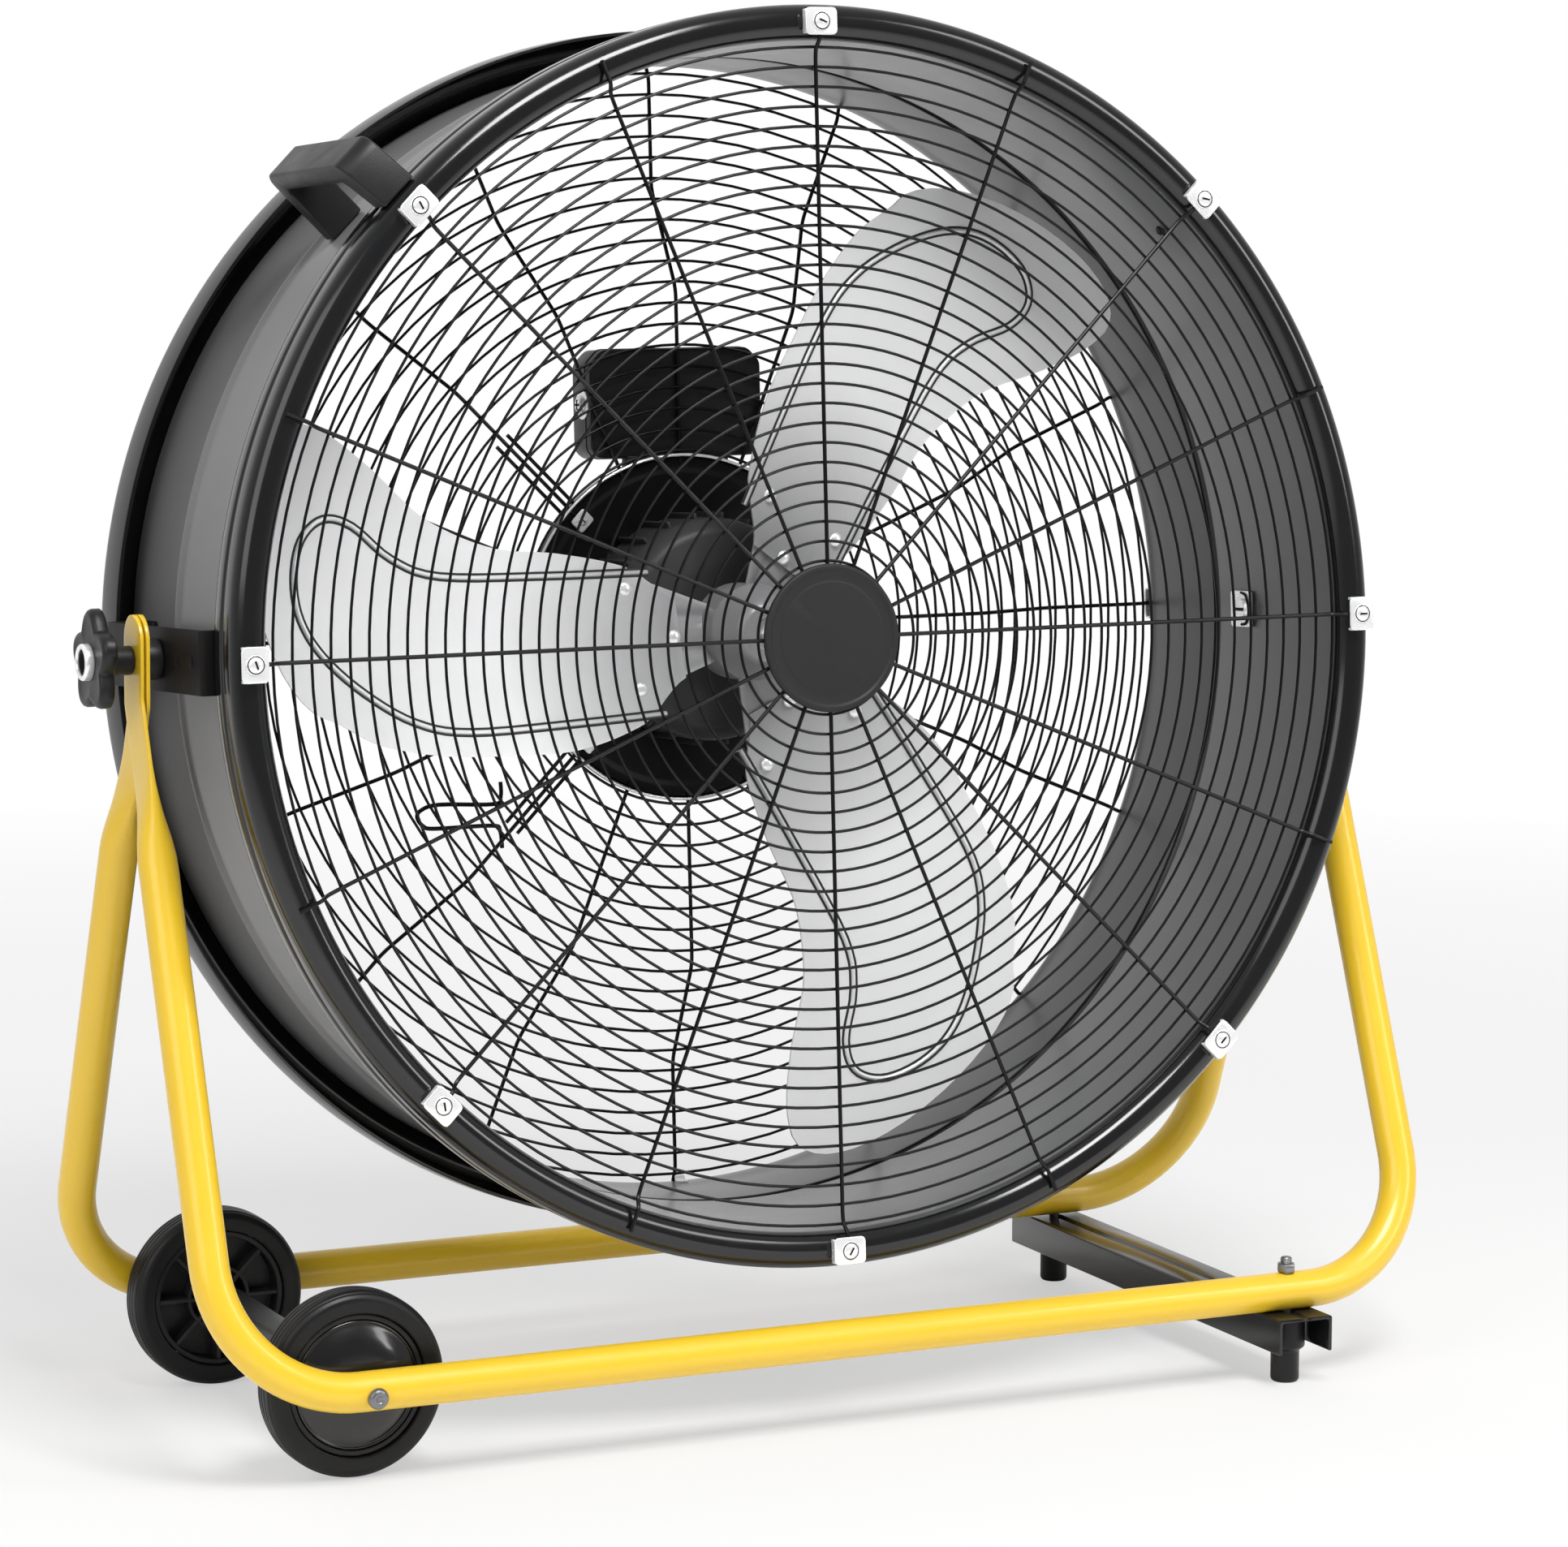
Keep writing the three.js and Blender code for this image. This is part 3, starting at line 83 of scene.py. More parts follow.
ALONG_X = Matrix.Rotation(-pi / 2, 4, "Z")  # turns what points along +Y to +X, and -Y to -X
ALONG_Z = Matrix.Rotation(pi / 2, 4, "X")  # stands up what points along +Y, and lays Z along -Y
REARWARDS = Matrix.Rotation(pi, 4, "X")  # turns what faces -Y so that it faces +Y
DRUM = shift(0, 0, PIVOT_HEIGHT) @ Matrix.Rotation(-radians(DRUM_TILT), 4, "X")
DIAL = DRUM @ shift(-22, BOX_BACK + BOX_DEPTH + GAP, 128)
AXLE = shift(AXLE_X, 0, WHEEL_RADIUS)
STILL = Matrix.Identity(4)
PLACES = {"drum": DRUM, "rotor": DRUM, "dial": DIAL, "stand": STILL}  # what a body's shapes are drawn in


# ---- materials
class Nodes:
    """Adds nodes to the tree of a material or world and links them."""

    def __init__(self, owner):
        owner.use_nodes = True
        self.owner, self.tree = owner, owner.node_tree
        self.coords = self.add("ShaderNodeTexCoord").outputs

    def add(self, kind, inputs=(), **settings):
        node = self.tree.nodes.new(kind)
        for key, value in settings.items():
            setattr(node, key, value)
        self.put(node, dict(inputs))
        return node

    def put(self, node, inputs):
        for key, value in inputs.items():
            if isinstance(value, bpy.types.NodeSocket):
                self.tree.links.new(value, node.inputs[key])
            else:
                node.inputs[key].default_value = value

    def shaded(self, inputs):
        """The material, once these inputs are set on its shader."""
        self.put(self.tree.nodes["Principled BSDF"], inputs)
        return self.owner

    def camera_ray(self):
        return self.add("ShaderNodeLightPath").outputs["Is Camera Ray"]

    def vector(self, operation, *values):
        return self.add("ShaderNodeVectorMath", enumerate(values), operation=operation).outputs

    def noise(self, scale, detail, rough=0.5, stretch=None):
        place = self.coords["Object"]
        if stretch:
            place = self.add("ShaderNodeMapping", {"Vector": place, "Scale": stretch}).outputs["Vector"]
        inputs = {"Vector": place, "Scale": scale, "Detail": detail, "Roughness": rough}
        return self.add("ShaderNodeTexNoise", inputs).outputs["Fac"]

    def spread(self, value, low, high, start=0.3, end=0.7):
        inputs = {"Value": value, "From Min": start, "From Max": end, "To Min": low, "To Max": high}
        return self.add("ShaderNodeMapRange", inputs).outputs["Result"]

    def mix(self, share, first, second):
        return self.add("ShaderNodeMix", {0: share, 6: first, 7: second}, data_type="RGBA").outputs[2]


def finish(name, color, dark, rough, metallic=0.0, fine=900, depth=0.0001, strength=0.1, coat=0.0,
           coat_rough=0.08, specular=0.5, stretch=None, worn=None, edge=0.3, blotch=9, painted_hub_shade=None):
    """A surface with blotches of a darker tone, uneven gloss and a fine grain. With worn, its edges are
    rubbed to that tone.
    With a hub shade given, it goes over to that tone towards the axis of the blades: painted shade, for the
    shade that falls on the blades near the hub."""
    n = Nodes(bpy.data.materials.new(name))
    tone = n.spread(n.noise(blotch, 4), 0, 1)
    base = n.mix(tone, (*color, 1), (*dark, 1))
    # Painted shade: the tone darkens towards the blades' axis, fully within 45 mm of it and not at all beyond
    # 150 mm.
    if painted_hub_shade:
        off_axis = n.vector("SUBTRACT", n.coords["Object"], (0, 0, PIVOT_HEIGHT * MM))[0]
        reach = n.vector("LENGTH", n.vector("MULTIPLY", off_axis, (1, 0, 1))[0])["Value"]
        base = n.mix(n.spread(reach, 1, 0, 0.045, 0.15), base, (*painted_hub_shade, 1))
    if worn:
        point = n.add("ShaderNodeNewGeometry").outputs["Pointiness"]
        base = n.mix(n.spread(point, 0, edge, 0.52, 0.62), base, (*worn, 1))
    streaks, grain = n.noise(blotch * 6, 5, 0.6, stretch), n.noise(fine, 2, 0.5, stretch)
    bump = n.add("ShaderNodeBump", {"Height": grain, "Strength": strength, "Distance": depth})
    return n.shaded({
        "Base Color": base, "Roughness": n.spread(streaks, *rough), "Metallic": metallic,
        "Specular IOR Level": specular, "Coat Weight": coat, "Coat Roughness": coat_rough,
        "Normal": bump.outputs["Normal"]})


# Each look: the material's name, its colour, the tone of its blotches and the range of its roughness.
# The grain is given by how fine it is per metre and by its depth in metres.
LOOKS = {
    "yellow_paint": finish(
        "yellow_powder_coat", (0.69, 0.45, 0.022), (0.67, 0.435, 0.019), (0.3, 0.38), fine=420, depth=0.0002,
        strength=0.05, coat=0.15, worn=(0.78, 0.54, 0.07), edge=0.15),
    "black_steel": finish(
        "black_powder_coat", (0.006, 0.0062, 0.0068), (0.005, 0.0052, 0.0057), (0.13, 0.18), strength=0.02,
        specular=0.45, worn=(0.02, 0.02, 0.022)),
    "strap_coat": finish(
        "matt_black_coat", (0.005, 0.005, 0.0055), (0.007, 0.007, 0.0075), (0.5, 0.6), fine=700, depth=0.0002,
        specular=0.12, worn=(0.02, 0.02, 0.022)),
    # Painted light: the barrel's outside is black paint, given this grey for the light and reflection on it.
    "barrel_painted_light": finish(
        "black_coat_with_painted_light", (0.14, 0.1405, 0.143), (0.13, 0.1305, 0.133), (0.3, 0.36), strength=0.03,
        blotch=4),
    "lining_coat": finish(
        "satin_inside_coat", (0.03, 0.0305, 0.032), (0.027, 0.0275, 0.029), (0.34, 0.4), strength=0.02,
        coat=0.7, coat_rough=0.27, specular=0.3, blotch=4),
    "black_wire": finish(
        "black_wire_coat", (0.003, 0.003, 0.0034), (0.002, 0.002, 0.0023), (0.3, 0.4), fine=700,
        strength=0.06, specular=0.22),
    # The blades and the hub's spider, with painted shade that darkens them towards the axis.
    "grey_metal": finish(
        "grey_blade_metal", (0.76, 0.762, 0.767), (0.74, 0.742, 0.748), (0.3, 0.36), metallic=0.15,
        depth=0.00004, strength=0.04, blotch=5, worn=(0.84, 0.84, 0.84), edge=0.2,
        painted_hub_shade=(0.22, 0.221, 0.225)),
    # Painted shade: the dark wires along the foot of each blade's ridge.
    "groove_shade": finish(
        "painted_groove_shade", (0.015, 0.015, 0.016), (0.01, 0.01, 0.011), (0.5, 0.6), metallic=0.2, fine=600,
        strength=0.05),
    "bright_steel": finish(
        "zinc_plate", (0.86, 0.862, 0.865), (0.82, 0.822, 0.83), (0.22, 0.3), metallic=0.5, fine=500,
        depth=0.00005, strength=0.05, blotch=12, worn=(0.95, 0.95, 0.95)),
    "dull_steel": finish(
        "dull_zinc", (0.2, 0.202, 0.21), (0.15, 0.152, 0.16), (0.3, 0.42), metallic=0.8, fine=1500,
        strength=0.15, blotch=50, worn=(0.42, 0.42, 0.43), edge=0.5),
    "sleeve_coat": finish(
        "sleeve_coat", (0.05, 0.052, 0.054), (0.04, 0.042, 0.044), (0.3, 0.4), metallic=0.5, fine=700,
        strength=0.08, stretch=(1, 0.1, 1)),
    "motor_black": finish(
        "motor_enamel", (0.04, 0.04, 0.041), (0.032, 0.032, 0.033), (0.38, 0.55), fine=500, depth=0.0004,
        strength=0.25, specular=0.3, worn=(0.06, 0.06, 0.062), edge=0.4),
    "black_plastic": finish(
        "moulded_plastic", (0.009, 0.009, 0.0095), (0.012, 0.012, 0.013), (0.34, 0.46), fine=1400,
        depth=0.0003, strength=0.2, specular=0.28, worn=(0.03, 0.03, 0.032), edge=0.35),
    "badge_coat": finish(
        "badge_plastic", (0.0125, 0.0125, 0.013), (0.01, 0.01, 0.0105), (0.5, 0.6), depth=0.0002,
        specular=0.3, worn=(0.03, 0.03, 0.032), edge=0.2),
    "gloss_black": finish(
        "gloss_plastic", (0.005, 0.005, 0.0055), (0.007, 0.007, 0.008), (0.17, 0.24), fine=500,
        strength=0.03, coat=0.25, specular=0.4),
    "rubber": finish(
        "tyre_rubber", (0.005, 0.005, 0.0053), (0.007, 0.007, 0.0073), (0.34, 0.46), fine=1100, depth=0.0003,
        strength=0.15, specular=0.25, worn=(0.02, 0.02, 0.02)),
    # Painted shade of slots and grooves, and the near black of the bolt's spring and the knob's socket.
    "slot_shade_and_black": finish(
        "painted_slot_shade_and_black", (0.004, 0.004, 0.004), (0.006, 0.006, 0.006), (0.6, 0.8), specular=0.2),
}


# ---- shape tools
def blend(a, b, share):
    return a + (b - a) * share


def turns(count):
    """Angles that share a full turn evenly."""
    return [2 * pi * i / count for i in range(count)]


def polar(radius, place, angle):
    """A point round the drum's axis: angle from +X towards +Z."""
    return Vector((radius * cos(angle), place, radius * sin(angle)))


def arc(centre, place, radius, start, end, steps):
    angles = [radians(blend(start, end, i / steps)) for i in range(steps + 1)]
    return [(centre + radius * cos(a), place + radius * sin(a)) for a in angles]


def oblong(half_x, half_y):
    return [(-half_x, -half_y), (half_x, -half_y), (half_x, half_y), (-half_x, half_y)]


def rounded(points, radius, steps=4, closed=True):
    """The same outline with each corner turned into a small curve."""
    made, count = [], len(points)
    for i, here in enumerate(points):
        here = Vector(here)
        if not closed and i in (0, count - 1):
            made.append(tuple(here))
            continue
        back = Vector(points[i - 1]) - here
        ahead = Vector(points[(i + 1) % count]) - here
        reach = min(radius, back.length * 0.45, ahead.length * 0.45)
        start, end = here + back.normalized() * reach, here + ahead.normalized() * reach
        for step in range(steps + 1):
            t = step / steps
            made.append(tuple(start * (1 - t) ** 2 + here * 2 * t * (1 - t) + end * t * t))
    return made


def between(a, b, c, d, t):
    """A point on the Catmull-Rom curve from b to c, for numbers or vectors."""
    return 0.5 * (2 * b + (c - a) * t + (2 * a - 5 * b + 4 * c - d) * t * t
                  + (3 * b - a - 3 * c + d) * t ** 3)


def smooth_path(points, steps):
    """A curve through the points."""
    points = [Vector(p) for p in points]
    ends = [points[0], *points, points[-1]]
    made = [between(*ends[i:i + 4], s / steps) for i in range(len(points) - 1) for s in range(steps)]
    return made + [points[-1]]


def skin(rows, loop_rows=False, loop=True, caps=False):
    """Quads between rows of points, as (points, faces)."""
    count, total = len(rows[0]), len(rows)
    points = [Vector(p) for row in rows for p in row]
    faces = []
    for r in range(total if loop_rows else total - 1):
        for i in range(count if loop else count - 1):
            j, s = (i + 1) % count, (r + 1) % total
            faces.append((r * count + i, r * count + j, s * count + j, s * count + i))
    if caps:
        faces.append(tuple(range(count))[::-1])
        faces.append(tuple(range((total - 1) * count, total * count)))
    return points, faces


def moved(solid, matrix):
    return [matrix @ p for p in solid[0]], solid[1]


def all_moved(solids, matrix):
    return [moved(solid, matrix) for solid in solids]


def lathe(profile, sides=96, closed=True):
    """Turns (radius, place) points about the Y axis. A profile that isn't closed starts and ends on it."""
    rows = [[polar(max(r, 0), y, angle) for r, y in profile] for angle in turns(sides)]
    return skin(rows, loop_rows=True, loop=closed)


def soft_lathe(profile, soft, steps, sides, closed=False):
    return lathe(rounded(profile, soft, steps, closed), sides, closed)


def tube(radius, start, end, hole, soft, steps, sides):
    """A round tube about the Y axis."""
    return soft_lathe([(hole, start), (radius, start), (radius, end), (hole, end)], soft, steps, sides, True)


def ring(radius, place, wire_radius, segments=96, sides=8):
    section = [(radius + wire_radius * cos(a), place + wire_radius * sin(a)) for a in turns(sides)]
    return lathe(section, segments)


def mesh_of(solids):
    bm = bmesh.new()
    for points, faces in solids:
        corners = [bm.verts.new(p) for p in points]
        for face in faces:
            try:
                bm.faces.new([corners[i] for i in face])
            except ValueError:  # the face is there already
                pass
    return bm


def softened(solid, radius, segments, limit):
    """Bevels the edges that turn by more than limit degrees."""
    bm = mesh_of([solid])
    bmesh.ops.remove_doubles(bm, verts=bm.verts, dist=1e-4)
    bmesh.ops.recalc_face_normals(bm, faces=bm.faces)
    sharp = [e for e in bm.edges if len(e.link_faces) == 2 and e.calc_face_angle(0) > radians(limit)]
    bmesh.ops.bevel(bm, geom=sharp, offset=radius, segments=segments, profile=0.5, affect="EDGES",
                    clamp_overlap=True)
    bm.verts.index_update()
    made = ([v.co.copy() for v in bm.verts], [tuple(v.index for v in f.verts) for f in bm.faces])
    bm.free()
    return made


def prism(outline, length, soft, segments=3, limit=28):
    """Extrudes (x, y) points along Z, centred."""
    rows = [[Vector((x, y, z)) for x, y in outline] for z in (-length / 2, length / 2)]
    return softened(skin(rows, caps=True), soft, segments, limit)


def block(size, middle, soft=0.6):
    return moved(prism(oblong(size[0] / 2, size[1] / 2), size[2], soft), Matrix.Translation(middle))


def wire(path, radius, sides=8):
    """A round wire along a path, whose section is turned as little as possible from point to point."""
    path = [Vector(p) for p in path]
    rows, normal = [], None
    for i, here in enumerate(path):
        ahead = (path[min(i + 1, len(path) - 1)] - path[max(i - 1, 0)]).normalized()
        if normal is None:
            normal = ahead.orthogonal().normalized()
        normal = (normal - ahead * normal.dot(ahead)).normalized()
        aside = ahead.cross(normal)
        rows.append([here + radius * (normal * cos(a) + aside * sin(a)) for a in turns(sides)])
    return skin(rows, caps=True)


def screw(radius, height, slot="cross"):
    """A domed screw head that stands on the plane y = 0 and faces -Y, and dark bars on it for its slot:
    painted shade.
    """
    head = lathe([(0, 0), (radius, 0), (radius, -height * 0.35), (radius * 0.8, -height * 0.8),
                  (radius * 0.4, -height), (0, -height)], 20, closed=False)
    long, thin = radius * 1.15, radius * 0.26
    bars = [block((long, 0.5, thin), (0, -height * 0.97, 0), 0.1)]
    if slot == "cross":
        bars.append(block((thin, 0.5, long), (0, -height * 0.97, 0), 0.1))
    return head, bars


def in_scene(name, data):
    made = bpy.data.objects.new(name, data)
    bpy.context.scene.collection.objects.link(made)
    return made


def piece(name, solids, slot_name, body, nodes=(), place=None, sharp=38, look=None, weld=True):
    """One object from closed shapes, with its material, body and the CAD nodes that it stands for."""
    bm = mesh_of(solids)
    place = PLACES[body] if place is None else place
    if weld:
        bmesh.ops.remove_doubles(bm, verts=bm.verts, dist=2e-3)
    bmesh.ops.dissolve_degenerate(bm, edges=bm.edges, dist=1e-4)
    bmesh.ops.recalc_face_normals(bm, faces=bm.faces)
    bmesh.ops.transform(bm, matrix=Matrix.Scale(MM, 4) @ place, verts=bm.verts)
    mesh = bpy.data.meshes.new(name)
    bm.to_mesh(mesh)
    bm.free()
    mesh.polygons.foreach_set("use_smooth", [True] * len(mesh.polygons))
    mesh.set_sharp_from_angle(angle=radians(sharp))
    made = in_scene(name, mesh)
    mesh.materials.append(LOOKS[look or slot_name])
    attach(made, body)
    if nodes:
        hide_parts(*nodes)
    return made


# Painted shade: the screws' slots and the clips' grooves are dark shapes that stand for the shade in them.
recess_shades = []  # the dark recesses in the screws and clips, gathered into one piece


# ---- drum
def drum_profile():
    """The sheet of the drum: up one side over the rolled rims and back along the other."""
    inner = RIM_ROLL - SHEET
    front, rear = FRONT_CREST + RIM_ROLL, REAR_CREST - RIM_ROLL
    band, band_inside = RIM_RADIUS - 0.4, RIM_RADIUS - 0.6 - SHEET
    groove, front_edge, rear_edge = RIM_RADIUS - 1.1, FRONT_CREST + RIM_BAND, REAR_CREST - RIM_BAND

    def bead(radius):
        return [(radius + BEAD_HEIGHT * (1 + cos(pi * t / 6)) / 2, BEAD_PLACE + BEAD_HALF * t / 6)
                for t in range(-6, 7)]

    return [
        *bead(BARREL_INSIDE)[::-1],
        *arc(CLIP_RADIUS, front, RIM_ROLL, 180, 360, 18),
        *rounded([(RIM_RADIUS, front + 2), (RIM_RADIUS, FRONT_CREST + 17), (groove, FRONT_CREST + 18.5),
                  (groove, FRONT_CREST + 20.5), (RIM_RADIUS, FRONT_CREST + 22), (band, front_edge),
                  (band_inside, front_edge)], 0.8, 2, closed=False),
        *arc(CLIP_RADIUS, front, inner, 360, 180, 12),
        *bead(BARREL_RADIUS),
        *arc(CLIP_RADIUS, rear, inner, 180, 0, 12),
        *rounded([(band_inside, rear_edge), (band, rear_edge), (RIM_RADIUS, rear - 2)], 0.6, 2,
                 closed=False),
        *arc(CLIP_RADIUS, rear, RIM_ROLL, 0, 180, 18),
    ]


def coat_drum(shell):
    """The barrel between the rims is the same black paint as the rims, but outside it is made grey: painted
    light, for the light and reflection of the lamps on it. Inside it is satin black. Its pressed bead and the
    rims keep the black of the first slot."""
    outside_slot, inside_slot, margin = 1, 2, 9
    shell.data.materials.append(LOOKS["barrel_painted_light"])
    shell.data.materials.append(LOOKS["lining_coat"])
    turned_back = DRUM.inverted() @ Matrix.Scale(1 / MM, 4)
    for polygon in shell.data.polygons:
        spot = turned_back @ polygon.center
        radius = hypot(spot.x, spot.z)
        on_bead = abs(spot.y - BEAD_PLACE) < 0.8 * BEAD_HALF and radius < BARREL_RADIUS - 0.4
        inboard = FRONT_CREST + margin < spot.y < REAR_CREST - margin
        if radius < BARREL_RADIUS + 3 and inboard and not on_bead:
            faces_axis = spot.x * polygon.normal.x + spot.z * polygon.normal.z < 0
            polygon.material_index = inside_slot if faces_axis else outside_slot


coat_drum(piece("drum_shell_skin", [lathe(drum_profile(), 256)], "black_steel", "drum", ["drum_shell"]))


# ---- guards
def dish_place(radius):
    share = min(max((DISH_OUTER - radius) / (DISH_OUTER - DISH_INNER), 0), 1)
    return blend(REAR_RING_PLANE, DISH_PLANE, share)


def front_spoke_path():
    plane, over = FRONT_RING_PLANE - WIRE_RADIUS - 1.1, FRONT_CREST - 2.0
    points = [(FRONT_SPOKE_START, plane), (GRILLE_RADIUS - 6, plane), (GRILLE_RADIUS - 1, plane - 0.6),
              (BARREL_RADIUS - 1, over), (BARREL_RADIUS + 3, over), (CLIP_RADIUS + 4, over)]
    return rounded(points, 4, 3, closed=False)


def rear_spoke_path():
    behind, over = WIRE_RADIUS + 1.2, REAR_CREST + 1.9
    points = [(REAR_SPOKE_START, DISH_PLANE + behind), (DISH_INNER, DISH_PLANE + behind),
              (DISH_OUTER, REAR_RING_PLANE + behind), (GRILLE_RADIUS - 2, REAR_RING_PLANE + behind),
              (BARREL_RADIUS, over), (CLIP_RADIUS + 4, over)]
    return rounded(points, 6, 4, closed=False)


def spoke_wires(path, angles):
    return [wire([polar(r, y, a) for r, y in path], SPOKE_RADIUS) for a in angles]


def guard_piece(name, solids, node=None):
    piece(name, solids, "black_wire", "drum", [node] if node else (), weld=False)


def spoke_plate():
    """The round plate under the badge that the front spokes end on."""
    back, front, reach = -98.4, -99.8, BADGE_RADIUS - 1
    return soft_lathe([(0, back), (reach, back), (reach, front), (0, front)], 0.3, 2, 64)


def motor_plate():
    raised, lip, back = PLATE_FRONT + 0.8, PLATE_FRONT - 1.2, PLATE_FRONT + 2.6
    profile = [(0, PLATE_FRONT), (88, PLATE_FRONT), (91, raised), (96.5, raised), (97, lip),
               (PLATE_RADIUS, lip), (PLATE_RADIUS, back), (0, back)]
    return soft_lathe(profile, 0.7, 3, 128)


# The upright spokes belong to the rings' node, the others to the plate's.
uprights = [a for i, a in enumerate(turns(SPOKES)) if i % 8 == 4]
others = [a for i, a in enumerate(turns(SPOKES)) if i % 8 != 4]
front_radii = [GRILLE_RADIUS - i * FRONT_RING_PITCH for i in range(FRONT_RINGS)]
rear_radii = [GRILLE_RADIUS - i * REAR_RING_PITCH for i in range(REAR_RINGS)]
front_rings = [ring(r, FRONT_RING_PLANE, WIRE_RADIUS, 128) for r in front_radii]
rear_rings = [ring(r, dish_place(r), WIRE_RADIUS, 96) for r in rear_radii]
guard_piece("front_grille_wires", front_rings + spoke_wires(front_spoke_path(), uprights), "front_grille")
guard_piece("front_spoke_wires", [*spoke_wires(front_spoke_path(), others), spoke_plate()],
            "front_grille_spokes")
guard_piece("rear_guard_wires", rear_rings + spoke_wires(rear_spoke_path(), uprights), "rear_guard")
guard_piece("motor_plate_disc", [motor_plate(), *spoke_wires(rear_spoke_path(), others)], "motor_plate")
piece("motor_plate_trim", [ring(PLATE_RADIUS - 0.8, PLATE_FRONT - 1.4, 0.9, 128)], "bright_steel", "drum")


def hairpin(angle):
    """Two parallel wires, joined at their inner end, that brace the motor's plate on the guard."""
    half, plane = 4.6, DISH_PLANE + 3.4
    raised = plane + 1.6
    leg = [(154, plane, half), (100, plane, half), (88, raised, half), (84, raised, half - 1.2)]
    path = leg + [(x, y, -z) for x, y, z in reversed(leg)]
    return moved(wire(rounded(path, 3, 4, closed=False), SPOKE_RADIUS), aimed(angle))


def plate_clip(angle):
    """A bright cap with a screw that holds a hairpin on the plate's front."""
    thick = 1.6
    cap = moved(prism(rounded(oblong(4.8, 5.6), 1.8, 4), thick, 0.5), ALONG_Z)
    head, bars = screw(2.7, 1.2, "slot")
    place = aimed(angle) @ shift(88.5, PLATE_FRONT - 1.9, 0)
    lift = place @ shift(0, -thick / 2, 0)
    return [moved(cap, place), moved(head, lift)], all_moved(bars, lift)


hairpin_angles = [radians(45 + 90 * i) for i in range(4)]
guard_piece("guard_hairpins", [hairpin(a) for a in hairpin_angles])
plate_clips = []
for clip_angle in hairpin_angles:
    bright, dark = plate_clip(clip_angle)
    plate_clips += bright
    recess_shades += dark
piece("motor_plate_clips", plate_clips, "bright_steel", "drum")

# A bent wire on the back of the guard, with two hooked ends, on which a lead can be wound: x, z, y.
HOOK = [(-113.6, -83, 93), (-114.5, -91, 91), (-119, -95, 90.5), (-152, -93.5, 90.5), (-163, -96, 90.5),
        (-165.5, -100, 90.5), (-162, -105, 90.5), (-155, -106.8, 90.5), (-121, -107, 90.5),
        (-115.5, -110, 91), (-113.6, -120, 93)]
guard_piece("guard_hook", [wire(smooth_path([(x, y, z) for x, z, y in HOOK], 5), 1.25)])


def badge():
    """A plain round cap with a raised lip."""
    face, inside_lip = BADGE_BACK - 3.2, BADGE_RADIUS - 4
    profile = [(0, BADGE_BACK), (BADGE_RADIUS, BADGE_BACK), (BADGE_RADIUS, face + 0.6),
               (BADGE_RADIUS - 1.2, face), (inside_lip + 1, face), (inside_lip, face + 0.9),
               (inside_lip - 5, face + 1.0), (inside_lip - 6, face + 0.7), (0, face + 0.5)]
    return soft_lathe(profile, 0.6, 3, 96)


piece("badge_cap", [badge()], "black_plastic", "drum", ["badge"], look="badge_coat")


# ---- clips
def clip_shapes(outwards, crest, angle, twist):
    """A pressed cap over the end of a spoke, with a round boss and a screw."""
    half_long, half_wide, above = 7.4, 9.4, 4.0  # above: from the rim's crest to the cap's middle
    cap = moved(prism(rounded(oblong(half_long, half_wide), 3.2, 5), 1.5, 0.55), ALONG_Z)
    cap = moved(cap, shift(0, crest + outwards * above, 0))
    legs = [block((13, 3.6, 1.5), (0, crest + outwards * 2.1, side * 8.6), 0.5) for side in (-1, 1)]
    boss = soft_lathe([(0, 0), (5.4, 0), (5.0, -0.6), (0, -0.7)], 0.4, 3, 32)
    groove = ring(4.5, -0.62, 0.28, 36, 6)
    head, bars = screw(4.0, 1.5, "slot")
    face = shift(0, crest + outwards * (above + 0.8), 0) @ (STILL if outwards < 0 else REARWARDS)
    turned = face @ Matrix.Rotation(twist * 2.6, 4, "Y") @ shift(0, -0.4, 0)
    place = aimed(angle) @ shift(CLIP_RADIUS, 0, 0)
    bright = [cap, *legs, moved(boss, face), moved(head, turned)]
    # Painted shade: the screw's slot and a ring round the boss.
    dark = [*all_moved(bars, turned), moved(groove, face)]
    return all_moved(bright, place), all_moved(dark, place)


for count, crest, outwards, name in ((8, FRONT_CREST, -1, "front"), (4, REAR_CREST, 1, "rear")):
    for i, clip_angle in enumerate(turns(count)):
        bright, dark = clip_shapes(outwards, crest, clip_angle, (i * 0.37) % 1)
        piece(f"{name}_clip_cap_{i + 1}", bright, "bright_steel", "drum", [f"{name}_clip_{i + 1}"])
        recess_shades += dark


# ---- motor and control box
def motor_shapes():
    radius, shaft_hole = 66, 6.5
    rear = PLATE_FRONT - GAP
    front = rear - 52
    can = soft_lathe([(shaft_hole, rear), (radius - 3, rear), (radius - 3, front + 12),
                      (radius - 10, front + 4), (36, front), (18, front - 0.4), (16, front - 2.6),
                      (shaft_hole, front - 2.6)], 3, 4, 96)
    fin = block((9, 36, 1.8), (radius - 4.2, (rear + front + 14) / 2, 0), 0.7)
    lug = block((12, 7, 9), (radius - 6, rear - 4.2, 0), 1.2)
    fins = [moved(fin, aimed(a + pi / 24)) for a in turns(24)]
    lugs = [moved(lug, aimed(a + pi / 4 + 0.2)) for a in turns(4)]
    return [can, *fins, *lugs]


